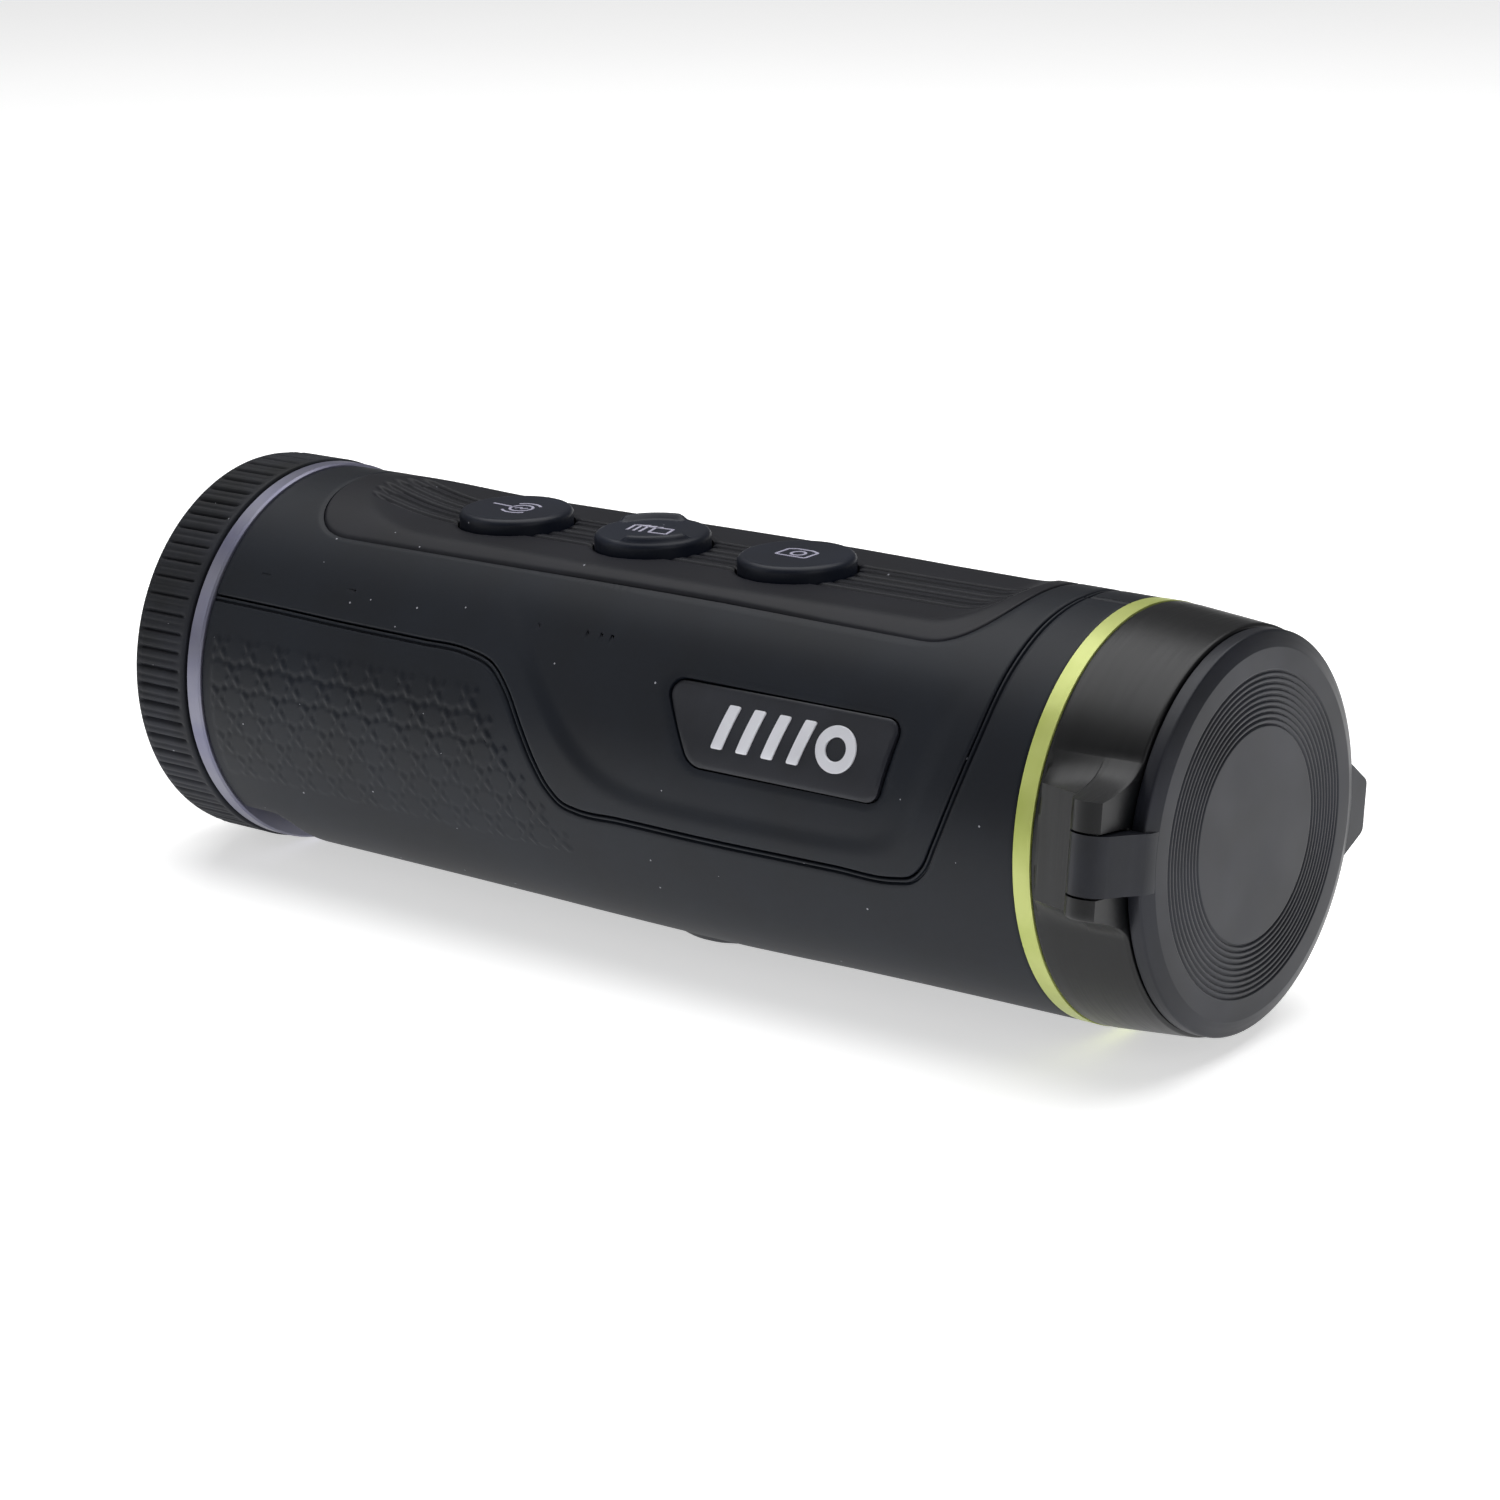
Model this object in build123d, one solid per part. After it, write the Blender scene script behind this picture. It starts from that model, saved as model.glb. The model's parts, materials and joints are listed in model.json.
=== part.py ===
from build123d import *
import math
import os

# A hand-held thermal imaging monocular.  Millimetres.
#
# Everything is modelled about the optical axis, which runs along X with the objective towards
# +X and the eyepiece towards -X.  x = 0 is the front face of the coloured ring, the keys are on
# top (+Z).  save() moves each piece so that the mouth of the tripod socket is the origin.

# ---------------------------------------------------------------- driving dimensions
COVER_R_FRONT = 29.1      # soft covers: outer radius at the coloured ring
COVER_R_REAR = 29.6       # soft covers: outer radius at the rear ring
COVER_T = 2.3             # soft covers: least thickness over the core tube
COVER_LENGTH = 147.9      # rear ring to coloured ring
CORE_WALL = 2.0           # rigid tube that everything is fixed to

ACCENT_LENGTH = 2.6       # coloured ring
REAR_RING_LENGTH = 2.8    # anodised ring behind the covers
REAR_RING_PROUD = 0.3     # how far that ring stands out of the covers
DIOPTER_GAP = 0.4         # visible gap between the rear ring and the dioptre ring
DIOPTER_LENGTH = 10.6
DIOPTER_R = 30.2          # over the ribs
RIB_COUNT = 66
RIB_DEPTH = 0.5

BEZEL_LENGTH = 13.6       # focus ring with the cap's hinge
BEZEL_R_FRONT = 27.9
BEZEL_MOUTH_R = 22.6      # clear opening in front of the lens
COVER_CLOCK = -8.0        # the focus ring and cap stand turned by this about +X at rest

CAP_GAP = 0.2
CAP_WALL = 2.0            # straight side of the cap
CAP_CROWN = 0.8           # chamfer from the side to the flat front
CAP_R = 27.5
CAP_SKIN = 1.6            # thickness of the cap's disc
PIN_X = 11.4              # hinge pin: place along the optical axis
PIN_OFFSET = 32.0         # hinge pin: distance from the optical axis
PIN_R = 0.9
KNUCKLE_R = 3.2
KNUCKLE_LENGTH = 8.0
UPPER_EAR_LENGTH = 4.0
LOWER_EAR_LENGTH = 2.8
TAB_REACH = 31.6          # finger tab: distance from the optical axis

KEY_X = (-111.2, -84.9, -58.6)
KEY_R = 8.6
KEY_TOP_Z = 28.3
KEY_TRAVEL = 0.6
KEY_FLANGE = 0.8          # how far the hidden flange is wider than the key, on the radius
KEY_FLANGE_T = 0.7
PANEL_Z = 26.2            # level of the grooved floor round the keys
PANEL_BASE_Z = 23.2       # underside of the key panel, on the core's flat
PANEL_REAR_X = -141.5
PANEL_FRONT_X = -16.5
PANEL_HALF_WIDTH = 16.3
PANEL_CORNER_R = 8.0
GROOVE_COUNT = 6
GROOVE_PITCH = 2.3
GROOVE_W = 0.9
GROOVE_DEPTH = 0.5

TRIPOD_X = -70.0
TRIPOD_MOUTH_Z = -29.9    # flat pad round the tripod socket
TRIPOD_HOLE_R = 2.6       # minor radius of a quarter-inch camera thread
TRIPOD_DEPTH = 7.0
TRIPOD_INSERT_R = 4.6
TRIPOD_PAD_R = 8.0

BARREL_BORE_R = 20.05     # focus cell slides here
EYE_TUBE_R = 19.9         # dioptre ring turns on this
EYE_BORE_R = 16.45        # eyepiece cell slides here

SEAM_GAP = 0.3
FIT_GAP = 0.15            # pieces set into one another
RUN_GAP = 0.06            # turning and sliding fits, on the radius
EDGE = 0.4                # broken edges

# ---------------------------------------------------------------- derived places
COVER_FRONT_X = -ACCENT_LENGTH
COVER_REAR_X = COVER_FRONT_X - COVER_LENGTH
REAR_RING_X = COVER_REAR_X - REAR_RING_LENGTH
DIOPTER_FRONT_X = REAR_RING_X - DIOPTER_GAP
DIOPTER_REAR_X = DIOPTER_FRONT_X - DIOPTER_LENGTH
CORE_R = COVER_R_FRONT - COVER_T
CORE_BORE_R = CORE_R - CORE_WALL
REAR_RING_R = COVER_R_REAR + REAR_RING_PROUD
CAP_REAR_X = BEZEL_LENGTH + CAP_GAP
CAP_EDGE_X = CAP_REAR_X + CAP_WALL
CAP_FRONT_X = CAP_EDGE_X + CAP_CROWN
KEY_WELL_R = KEY_R + 0.35
BIG = 200.0


def cover_radius(x):
    """Outer radius of the soft covers at x: a straight taper from the rear to the front."""
    return COVER_R_REAR + (COVER_R_FRONT - COVER_R_REAR) * (x - COVER_REAR_X) / COVER_LENGTH


def turned(*outline):
    """Solid of revolution about the optical axis from a closed outline of (x, radius) points."""
    return revolve(Polygon(*outline, align=None), axis=Axis.X)


def ring(x0, x1, inner, outer):
    return turned((x0, inner), (x1, inner), (x1, outer), (x0, outer))


def disc(x0, x1, radius):
    return turned((x0, 0), (x1, 0), (x1, radius), (x0, radius))


def block(x, y, z):
    """Box from three (low, high) pairs."""
    size = [high - low for low, high in (x, y, z)]
    middle = [(low + high) / 2 for low, high in (x, y, z)]
    return Pos(*middle) * Box(*size)


def post(x, y, z0, z1, radius):
    """Cylinder along Z."""
    return Pos(x, y, (z0 + z1) / 2) * Cylinder(radius, z1 - z0)


def side_prism(sketch, y0, y1):
    """Prism along Y from a sketch drawn in (x, z)."""
    return Pos(0, y1, 0) * extrude(Plane.XZ * sketch, y1 - y0)


def plan_prism(sketch, z0, z1):
    """Prism along Z from a sketch drawn in (x, y)."""
    return Pos(0, 0, z0) * extrude(sketch, z1 - z0)


def clocked(shape):
    """Turn a piece of the focus ring or cap to where it stands at rest."""
    return Rot(COVER_CLOCK, 0, 0) * shape


# ---------------------------------------------------------------- soft covers
SEAM_HIGH_Z = 14.7        # rear stretch of the seam
SEAM_LOW_Z = -5.2         # middle stretch, under the badge
SEAM_DROP_X = (-92.2, -78.2)
SEAM_RISE_X = (-17.3, -10.6)
SEAM_TOP_X = -9.8
SEAM_CORNER_R = (9.0, 4.0, 3.0, 12.0)
BADGE_ANGLE = 20.3        # badge centre, above the horizontal on the -Y side
BADGE_DEPTH = 1.1         # pocket for the badge plate, below the dish
BADGE_MARK_T = 0.3
DISH_DEPTH = 0.6          # shallow dish pressed into each side of the upper cover
STRAP_CHANNEL_LENGTH = 7.8
STRAP_CHANNEL_FLOOR = COVER_R_REAR - 4.1
STRAP_CHANNEL_HALF_ANGLE = 46.0
STRAP_PIN_R = 0.9
STRAP_PIN_Z = -(COVER_R_REAR - 1.7)
PORT_X = -124.0
PORT_LENGTH = 15.0
PORT_WIDTH = 8.0
PORT_CORNER_R = 2.0
PORT_PIVOT_R = 0.6
PORT_PIVOT_INSET = 1.1    # pivot behind the cover's surface and inside its rear edge
SPLIT_DEPTH = 0.5         # index line across the front collar


def seam_sketch(grow):
    """Region of the side view (x, z) that belongs to the upper cover, grown or shrunk."""
    far = COVER_REAR_X - 5
    top = COVER_R_REAR + 10
    corners = [(far, SEAM_HIGH_Z), (SEAM_DROP_X[0], SEAM_HIGH_Z), (SEAM_DROP_X[1], SEAM_LOW_Z),
               (SEAM_RISE_X[0], SEAM_LOW_Z), (SEAM_RISE_X[1], SEAM_HIGH_Z), (SEAM_TOP_X, top)]
    seam = FilletPolyline(*corners, radius=SEAM_CORNER_R)
    back = Polyline(corners[-1], (far, top), corners[0])
    return offset(make_face([*seam.edges(), *back.edges()]), grow)


def cover_blank():
    """Both soft covers in one: a tapered tube with rounded ends and the tripod pad."""
    rear, front = COVER_REAR_X, COVER_FRONT_X
    tube = turned((rear, CORE_R), (front, CORE_R), (front, COVER_R_FRONT - EDGE),
                  (front - EDGE, COVER_R_FRONT), (rear + EDGE, COVER_R_REAR),
                  (rear, COVER_R_REAR - EDGE))
    pad = post(TRIPOD_X, 0, TRIPOD_MOUTH_Z, 0, TRIPOD_PAD_R) - disc(rear, front, CORE_R)
    return tube + pad


def panel_sketch(grow):
    """Plan outline of the key panel."""
    length = PANEL_FRONT_X - PANEL_REAR_X
    middle = (PANEL_FRONT_X + PANEL_REAR_X) / 2
    outline = RectangleRounded(length, 2 * PANEL_HALF_WIDTH, PANEL_CORNER_R)
    return Pos(middle, 0) * offset(outline, grow)


def badge_place(radius):
    """Local frame on the -Y side: x along the body, y up round the body, z outwards."""
    return Rot(90 - BADGE_ANGLE, 0, 0) * Pos(0, 0, radius)


def rounded_outline(corners, corner_r):
    sketch = Polygon(*corners, align=None)
    return fillet(sketch.vertices(), corner_r)


def badge_sketch(grow):
    corners = [(-54.6, -6.3), (-25.3, -6.3), (-23.2, 6.2), (-61.9, 6.2)]
    return offset(rounded_outline(corners, 2.0), grow)


def badge_floor():
    """Distance of the badge pocket's floor from the optical axis."""
    return cover_radius(-43.0) - DISH_DEPTH - BADGE_DEPTH


def dish():
    """Material taken away by the shallow dish on the -Y side."""
    corners = [(-74.0, -11.3), (-21.0, -11.3), (-15.8, 9.0), (-91.0, 9.0)]
    window = badge_place(0) * extrude(rounded_outline(corners, 4.0), BIG)
    rear, front = COVER_REAR_X, COVER_FRONT_X
    skin = turned((rear, COVER_R_REAR - DISH_DEPTH), (front, COVER_R_FRONT - DISH_DEPTH),
                  (front, COVER_R_REAR + 1), (rear, COVER_R_REAR + 1))
    return window & skin


def upper_cover():
    cover = cover_blank() & side_prism(seam_sketch(-SEAM_GAP / 2), -BIG, BIG)
    cover -= plan_prism(panel_sketch(FIT_GAP), PANEL_BASE_Z, BIG)
    cover -= dish()
    cover -= mirror(dish(), about=Plane.XZ)
    return cover - badge_place(badge_floor()) * extrude(badge_sketch(FIT_GAP), BIG)


def strap_channel():
    """Hollow round the underside, just in front of the rear ring, that a strap passes through."""
    x0, x1 = COVER_REAR_X, COVER_REAR_X + STRAP_CHANNEL_LENGTH
    reach = COVER_R_REAR * 2
    half = math.radians(STRAP_CHANNEL_HALF_ANGLE)
    side = (reach * math.sin(half), -reach * math.cos(half))
    wedge = Polygon((0, 0), (-side[0], side[1]), side, align=None)
    sector = Pos(x0, 0, 0) * extrude(Plane.YZ * wedge, x1 - x0)
    return ring(x0, x1, STRAP_CHANNEL_FLOOR, reach) & sector


def strap_pin(grow):
    """Steel pin across the strap channel, set into the grip and the rear ring."""
    x0 = COVER_REAR_X - REAR_RING_LENGTH / 2 - grow
    x1 = COVER_REAR_X + STRAP_CHANNEL_LENGTH + REAR_RING_LENGTH / 2 + grow
    return Pos(0, 0, STRAP_PIN_Z) * disc(x0, x1, STRAP_PIN_R + grow)


def port_sketch(grow):
    """Plan of the port cover: round corners at the lifting end, square ones at the hinge."""
    length, width = PORT_LENGTH + 2 * grow, PORT_WIDTH + 2 * grow
    hinge_end = Pos(PORT_X - length / 4, 0) * Rectangle(length / 2, width)
    return Pos(PORT_X, 0) * RectangleRounded(length, width, PORT_CORNER_R + grow) + hinge_end


PORT_PIVOT_X = PORT_X - PORT_LENGTH / 2 + PORT_PIVOT_INSET
PORT_PIVOT_Z = -(cover_radius(PORT_PIVOT_X) - PORT_PIVOT_INSET)


def port_trunnions(radius, gap):
    """Short pins that the port cover swings on."""
    length = PORT_WIDTH + 2 + 2 * gap
    return Pos(PORT_PIVOT_X, 0, PORT_PIVOT_Z) * Rot(90, 0, 0) * Cylinder(radius, length)


def port_cover():
    flap = plan_prism(port_sketch(0), -BIG, 0) & cover_blank()
    flap -= disc(COVER_REAR_X, COVER_FRONT_X, CORE_R + FIT_GAP)
    heel = block((PORT_X - PORT_LENGTH, PORT_PIVOT_X), (-PORT_WIDTH, PORT_WIDTH), (-BIG, 0))
    flap -= heel - port_trunnions(PORT_PIVOT_INSET, 0)
    plug = block((PORT_X - 3.6, PORT_X + 3.6), (-1.0, 1.0), (-CORE_R - 1, -CORE_R + 1.2))
    return flap + plug + port_trunnions(PORT_PIVOT_R, 0)


def lower_grip():
    grip = cover_blank() - side_prism(seam_sketch(SEAM_GAP / 2), -BIG, BIG)
    grip -= block((SEAM_TOP_X - 1, 0), (-SEAM_GAP / 2, SEAM_GAP / 2), (COVER_R_FRONT - SPLIT_DEPTH, BIG))
    grip -= strap_channel()
    grip -= strap_pin(FIT_GAP / 3)
    grip -= plan_prism(port_sketch(FIT_GAP), -BIG, 0)
    grip -= port_trunnions(PORT_PIVOT_R + RUN_GAP, FIT_GAP)
    return grip - post(TRIPOD_X, 0, TRIPOD_MOUTH_Z - 1, 0, TRIPOD_INSERT_R + FIT_GAP)


def badge_plate():
    thickness = BADGE_DEPTH - BADGE_MARK_T
    return badge_place(badge_floor()) * extrude(badge_sketch(-FIT_GAP), thickness)


def badge_mark():
    """Generic raised mark: three slanted bars beside an open ring."""
    floor = badge_floor() + BADGE_DEPTH - BADGE_MARK_T
    bars = [Pos(x, 0) * Polygon((-2.2, -2.6), (-0.6, -2.6), (1.2, 2.6), (-0.4, 2.6), align=None)
            for x in (-45.0, -41.6, -38.2)]
    loop = Pos(-33.0, 0) * (Circle(2.7) - Circle(1.5))
    shapes = [extrude(sketch, BADGE_MARK_T) for sketch in (*bars, loop)]
    return [badge_place(floor) * shape for shape in shapes]


# ---------------------------------------------------------------- rigid core
LEDGE_T = 1.6
KEY_BOARD_Z = 18.4
KEY_BOARD_T = 1.0
KEY_BOARD_X = (-118.5, -48.5)
KEY_BOARD_HALF_WIDTH = 13.0
MAIN_BOARD_Z = 5.0
MAIN_BOARD_T = 1.6
MAIN_BOARD_X = (-113.0, -50.0)
MAIN_BOARD_HALF_WIDTH = 20.0
BOARD_SCREW_INSET = (4.0, 1.8)
BOSS_WALL = 2.0
PORT_BOARD_Z = -18.9
PORT_BOARD_T = 1.0
PORT_BOARD_HALF_WIDTH = 9.0
PORT_BOARD_X = (PORT_X - 9.0, PORT_X + 8.5)


def ledges(span, half_width, top_z):
    """Pair of shelves inside the core that carry the edges of a board."""
    shelf = block(span, (half_width - 2.0, CORE_R), (top_z - LEDGE_T, top_z))
    pair = shelf + mirror(shelf, about=Plane.XZ)
    return pair & disc(COVER_REAR_X, COVER_FRONT_X, CORE_BORE_R + CORE_WALL / 2)


def board_screw_places():
    inset_x, inset_y = BOARD_SCREW_INSET
    for x in (MAIN_BOARD_X[0] + inset_x, MAIN_BOARD_X[1] - inset_x):
        for side in (-1, 1):
            yield x, side * (MAIN_BOARD_HALF_WIDTH - inset_y)


def tripod_top():
    """Top of the threaded insert, inside the core's boss."""
    return TRIPOD_MOUTH_Z + TRIPOD_DEPTH + 1.0


def core_tube():
    core = ring(COVER_REAR_X, COVER_FRONT_X, CORE_BORE_R, CORE_R)
    core -= plan_prism(panel_sketch(FIT_GAP), PANEL_BASE_Z, BIG)
    core += ledges(KEY_BOARD_X, KEY_BOARD_HALF_WIDTH, KEY_BOARD_Z)
    core += ledges(MAIN_BOARD_X, MAIN_BOARD_HALF_WIDTH, MAIN_BOARD_Z)
    boss_r = TRIPOD_INSERT_R + BOSS_WALL
    boss = post(TRIPOD_X, 0, -CORE_R, tripod_top() + BOSS_WALL / 2, boss_r)
    core += boss & disc(COVER_REAR_X, COVER_FRONT_X, CORE_R)
    core -= post(TRIPOD_X, 0, -BIG, tripod_top(), TRIPOD_INSERT_R)
    core -= strap_channel()
    core -= block((PORT_X - 5.2, PORT_X + 5.2), (-2.3, 2.3), (-CORE_R - 1, -CORE_BORE_R + 2))
    for side in (-1, 1):
        foot = post(PORT_BOARD_X[0] + 2, side * (PORT_BOARD_HALF_WIDTH - 2), -CORE_R, PORT_BOARD_Z, 1.5)
        core += foot & disc(COVER_REAR_X, COVER_FRONT_X, CORE_R - FIT_GAP)
    for x, y in board_screw_places():
        core -= post(x, y, MAIN_BOARD_Z - LEDGE_T, MAIN_BOARD_Z, SCREW_R)
    return core


# ---------------------------------------------------------------- keys
RAMP_REAR_X = -117.0      # grooved floor starts to climb to the rear here
RAMP_FRONT_X = -27.5
RAMP_REAR_END_X = -138.5
RAMP_FRONT_END_X = -18.0
KEY_FLANGE_TOP_Z = PANEL_Z - 1.4
KEY_STEM_R = 2.0
DOME_H = 1.6
KEY_EDGE_R = 0.8


def open_region(drop, front_x):
    """Side view of the space over the panel's floor, with the floor lowered by drop."""
    z = PANEL_Z - drop
    top = COVER_R_REAR + 10
    rear_end = (RAMP_REAR_END_X, cover_radius(RAMP_REAR_END_X) - drop)
    rear = TangentArc((RAMP_REAR_X, z), rear_end, tangent=(-1, 0))
    edges = [*rear.edges(), *Polyline(rear_end, (RAMP_REAR_END_X, top), (front_x, top)).edges()]
    if front_x > RAMP_FRONT_X:
        front_end = (front_x, cover_radius(front_x))
        front = TangentArc((RAMP_FRONT_X, z), front_end, tangent=(1, 0))
        edges += [*Line((front_x, top), front_end).edges(), *front.edges()]
    else:
        edges += [*Line((front_x, top), (front_x, z)).edges()]
    edges += [*Line((min(front_x, RAMP_FRONT_X), z), (RAMP_REAR_X, z)).edges()]
    return make_face(edges)


def key_panel():
    rear, front = COVER_REAR_X, COVER_FRONT_X
    round_top = turned((rear, 0), (front, 0), (front, COVER_R_FRONT), (rear, COVER_R_REAR))
    panel = plan_prism(panel_sketch(0), PANEL_BASE_Z, BIG) & round_top
    panel -= side_prism(open_region(0, RAMP_FRONT_END_X), -BIG, BIG)
    panel -= disc(SENSOR_BOARD_X, COVER_FRONT_X, CORE_BORE_R)
    for index in range(GROOVE_COUNT):
        y = (index - (GROOVE_COUNT - 1) / 2) * GROOVE_PITCH
        panel -= side_prism(open_region(GROOVE_DEPTH, RAMP_FRONT_X), y - GROOVE_W / 2, y + GROOVE_W / 2)
    for x in KEY_X:
        panel -= post(x, 0, 0, BIG, KEY_WELL_R)
        panel -= post(x, 0, 0, KEY_FLANGE_TOP_Z + 0.1, KEY_R + KEY_FLANGE + FIT_GAP * 2)
    return panel


def key(x):
    flange_z = KEY_FLANGE_TOP_Z - KEY_FLANGE_T
    cap = post(x, 0, flange_z, KEY_TOP_Z, KEY_R)
    cap = fillet(cap.edges().sort_by(Axis.Z)[-1], KEY_EDGE_R)
    flange = post(x, 0, flange_z, KEY_FLANGE_TOP_Z, KEY_R + KEY_FLANGE)
    stem_z = KEY_BOARD_Z + KEY_BOARD_T + DOME_H + KEY_TRAVEL + 0.1
    return cap + flange + post(x, 0, stem_z, flange_z, KEY_STEM_R)


def key_board():
    return block(KEY_BOARD_X, (-KEY_BOARD_HALF_WIDTH, KEY_BOARD_HALF_WIDTH),
                 (KEY_BOARD_Z, KEY_BOARD_Z + KEY_BOARD_T))


def dome_switches():
    z = KEY_BOARD_Z + KEY_BOARD_T
    return [post(x, 0, z, z + DOME_H - 0.6, 3.0) + post(x, 0, z, z + DOME_H, 1.5) for x in KEY_X]


# ---------------------------------------------------------------- electronics
SCREW_R = 1.0
SCREW_HEAD_R = 1.9
SCREW_HEAD_T = 1.2
BATTERY_R = 9.2
BATTERY_LENGTH = 65.0
BATTERY_X = -114.0
BATTERY_Z = -8.5
DISPLAY_X = -120.0        # front end of the eyepiece tube
SENSOR_BOARD_X = -46.5


def main_board():
    board = block(MAIN_BOARD_X, (-MAIN_BOARD_HALF_WIDTH, MAIN_BOARD_HALF_WIDTH),
                  (MAIN_BOARD_Z, MAIN_BOARD_Z + MAIN_BOARD_T))
    for x, y in board_screw_places():
        board -= post(x, y, MAIN_BOARD_Z, MAIN_BOARD_Z + MAIN_BOARD_T, SCREW_R + FIT_GAP)
    return board


def board_screws():
    top = MAIN_BOARD_Z + MAIN_BOARD_T
    return [post(x, y, MAIN_BOARD_Z - LEDGE_T, top, SCREW_R) + post(x, y, top, top + SCREW_HEAD_T, SCREW_HEAD_R)
            for x, y in board_screw_places()]


def shield_can():
    z0 = MAIN_BOARD_Z + MAIN_BOARD_T
    outer = block((-98, -70), (-11, 11), (z0, z0 + 2.6))
    return outer - block((-97.7, -70.3), (-10.7, 10.7), (z0, z0 + 2.3))


def battery_cell():
    x1 = BATTERY_X + BATTERY_LENGTH
    cell = turned((BATTERY_X, 0), (x1 - 1, 0), (x1 - 1, BATTERY_R), (BATTERY_X, BATTERY_R))
    return Pos(0, 0, BATTERY_Z) * (cell + disc(x1 - 1, x1, 3.0))


def battery_cradle():
    x0, x1 = BATTERY_X - 1.2, BATTERY_X + BATTERY_LENGTH + 0.6
    floor_z = tripod_top() + BOSS_WALL / 2 + FIT_GAP
    tray = block((x0, x1), (-14, 14), (floor_z, BATTERY_Z))
    tray &= disc(x0, x1, CORE_BORE_R - FIT_GAP)
    return tray - Pos(0, 0, BATTERY_Z) * disc(x0 + 1.0, x1, BATTERY_R + FIT_GAP)


def port_board():
    return block(PORT_BOARD_X, (-PORT_BOARD_HALF_WIDTH, PORT_BOARD_HALF_WIDTH),
                 (PORT_BOARD_Z, PORT_BOARD_Z + PORT_BOARD_T))


def port_socket():
    """Metal shell of the charging socket, its mouth facing down, with the contact tongue."""
    z0, z1 = -CORE_R + 1.4, PORT_BOARD_Z
    shell = block((PORT_X - 4.5, PORT_X + 4.5), (-1.6, 1.6), (z0, z1))
    shell -= block((PORT_X - 4.2, PORT_X + 4.2), (-1.3, 1.3), (z0, z1 - 0.8))
    return shell + block((PORT_X - 3.3, PORT_X + 3.3), (-0.35, 0.35), (z0 + 1.2, z1))


def display_holder():
    x0, x1 = DISPLAY_X, DISPLAY_X + 4
    holder = disc(x0, x1, EYE_BORE_R + 1.0)
    holder -= block((x0, x1), (-6.5, 6.5), (-5.2, 5.2))
    return holder - block((x0 + 2, x1), (-8.2, 8.2), (-7.2, 7.2))


def display_module():
    x0 = DISPLAY_X + 2
    return block((x0, x0 + 2.6), (-8.0, 8.0), (-7.0, 7.0))


def sensor_board():
    return block((SENSOR_BOARD_X, SENSOR_BOARD_X + 1.6), (-15, 15), (-15, 15))


DETECTOR_X = SENSOR_BOARD_X + 1.6
DETECTOR_T = 3.4
WINDOW_T = 0.8
WINDOW_HALF = 6.0
SHUTTER_PLATE_T = 2.2
SHUTTER_PIVOT_Z = -13.5
SHUTTER_BLADE_R = 6.4
SHUTTER_PARK = 70.0       # the blade stands this far aside when open
SHUTTER_PIN_R = 1.0
BARREL_REAR_X = -37.0


def detector():
    x1 = DETECTOR_X + DETECTOR_T
    package = block((DETECTOR_X, x1), (-9, 9), (-8, 8))
    return package - block((x1 - WINDOW_T / 2, x1), (-WINDOW_HALF, WINDOW_HALF), (-WINDOW_HALF, WINDOW_HALF))


def detector_window():
    x0 = DETECTOR_X + DETECTOR_T - WINDOW_T / 2
    half = WINDOW_HALF - 0.05
    return block((x0, x0 + WINDOW_T), (-half, half), (-half, half))


SHUTTER_PLATE_X = BARREL_REAR_X - SHUTTER_PLATE_T
SHUTTER_BLADE_X = SHUTTER_PLATE_X - 0.8


def shutter_plate():
    """Plate on the back of the lens barrel with the aperture and the shutter's pin."""
    plate = ring(SHUTTER_PLATE_X, BARREL_REAR_X, SHUTTER_BLADE_R - 0.6, CORE_BORE_R - FIT_GAP)
    pin = disc(SHUTTER_BLADE_X - 0.4, SHUTTER_PLATE_X, SHUTTER_PIN_R)
    return plate + Pos(0, 0, SHUTTER_PIVOT_Z) * pin


def shutter_blade():
    """Thin flag that swings across the detector, drawn where it is parked."""
    arm = -SHUTTER_PIVOT_Z
    flag = Circle(2.2) + Pos(0, arm) * Circle(SHUTTER_BLADE_R)
    flag += Pos(0, arm / 2) * Rectangle(2.4, arm)
    flag -= Circle(SHUTTER_PIN_R + RUN_GAP)
    blade = Pos(SHUTTER_BLADE_X, 0, 0) * extrude(Plane.YZ * flag, 0.5)
    return Pos(0, 0, SHUTTER_PIVOT_Z) * Rot(SHUTTER_PARK, 0, 0) * blade


# ---------------------------------------------------------------- objective and focus ring
NOSE_R = 24.6             # focus ring turns on the barrel's nose
NOSE_LENGTH = 10.4
FLANGE_R = 26.0
CELL_X = (-26.0, 8.0)
CELL_STOP_X = -29.0
FRONT_LENS_R = BARREL_BORE_R - 1.55
FRONT_LENS_X = (1.5, 4.5)
REAR_LENS_R = BARREL_BORE_R - 8.05
REAR_LENS_X = (-24.0, -20.5)
SEAL_X = 2.4
SEAL_R = 0.8
CIRCLIP_X = (5.0, 6.0)
CIRCLIP_R = (23.35, 25.4)
EAR_GAP = 0.3
LENS_SEAT_GAP = 0.4       # from a lens's rim to the ring that holds it
FAIRING_R = 8.0           # concave sweep from the upper ear up to the ring


def lens_barrel():
    front_flange = -0.05
    barrel = turned((BARREL_REAR_X, 12), (CELL_STOP_X, 17), (CELL_STOP_X, BARREL_BORE_R),
                    (NOSE_LENGTH, BARREL_BORE_R), (NOSE_LENGTH, NOSE_R), (0.02, NOSE_R),
                    (0.02, NOSE_R + 1), (front_flange, FLANGE_R), (COVER_FRONT_X, FLANGE_R),
                    (COVER_FRONT_X, CORE_BORE_R - RUN_GAP), (BARREL_REAR_X, CORE_BORE_R - RUN_GAP))
    barrel -= ring(SEAL_X - SEAL_R - 0.1, SEAL_X + SEAL_R + 0.1, NOSE_R - 2 * SEAL_R, NOSE_R + 1)
    return barrel - ring(CIRCLIP_X[0] - FIT_GAP, CIRCLIP_X[1] + FIT_GAP, CIRCLIP_R[0] - FIT_GAP, NOSE_R + 1)


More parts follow.
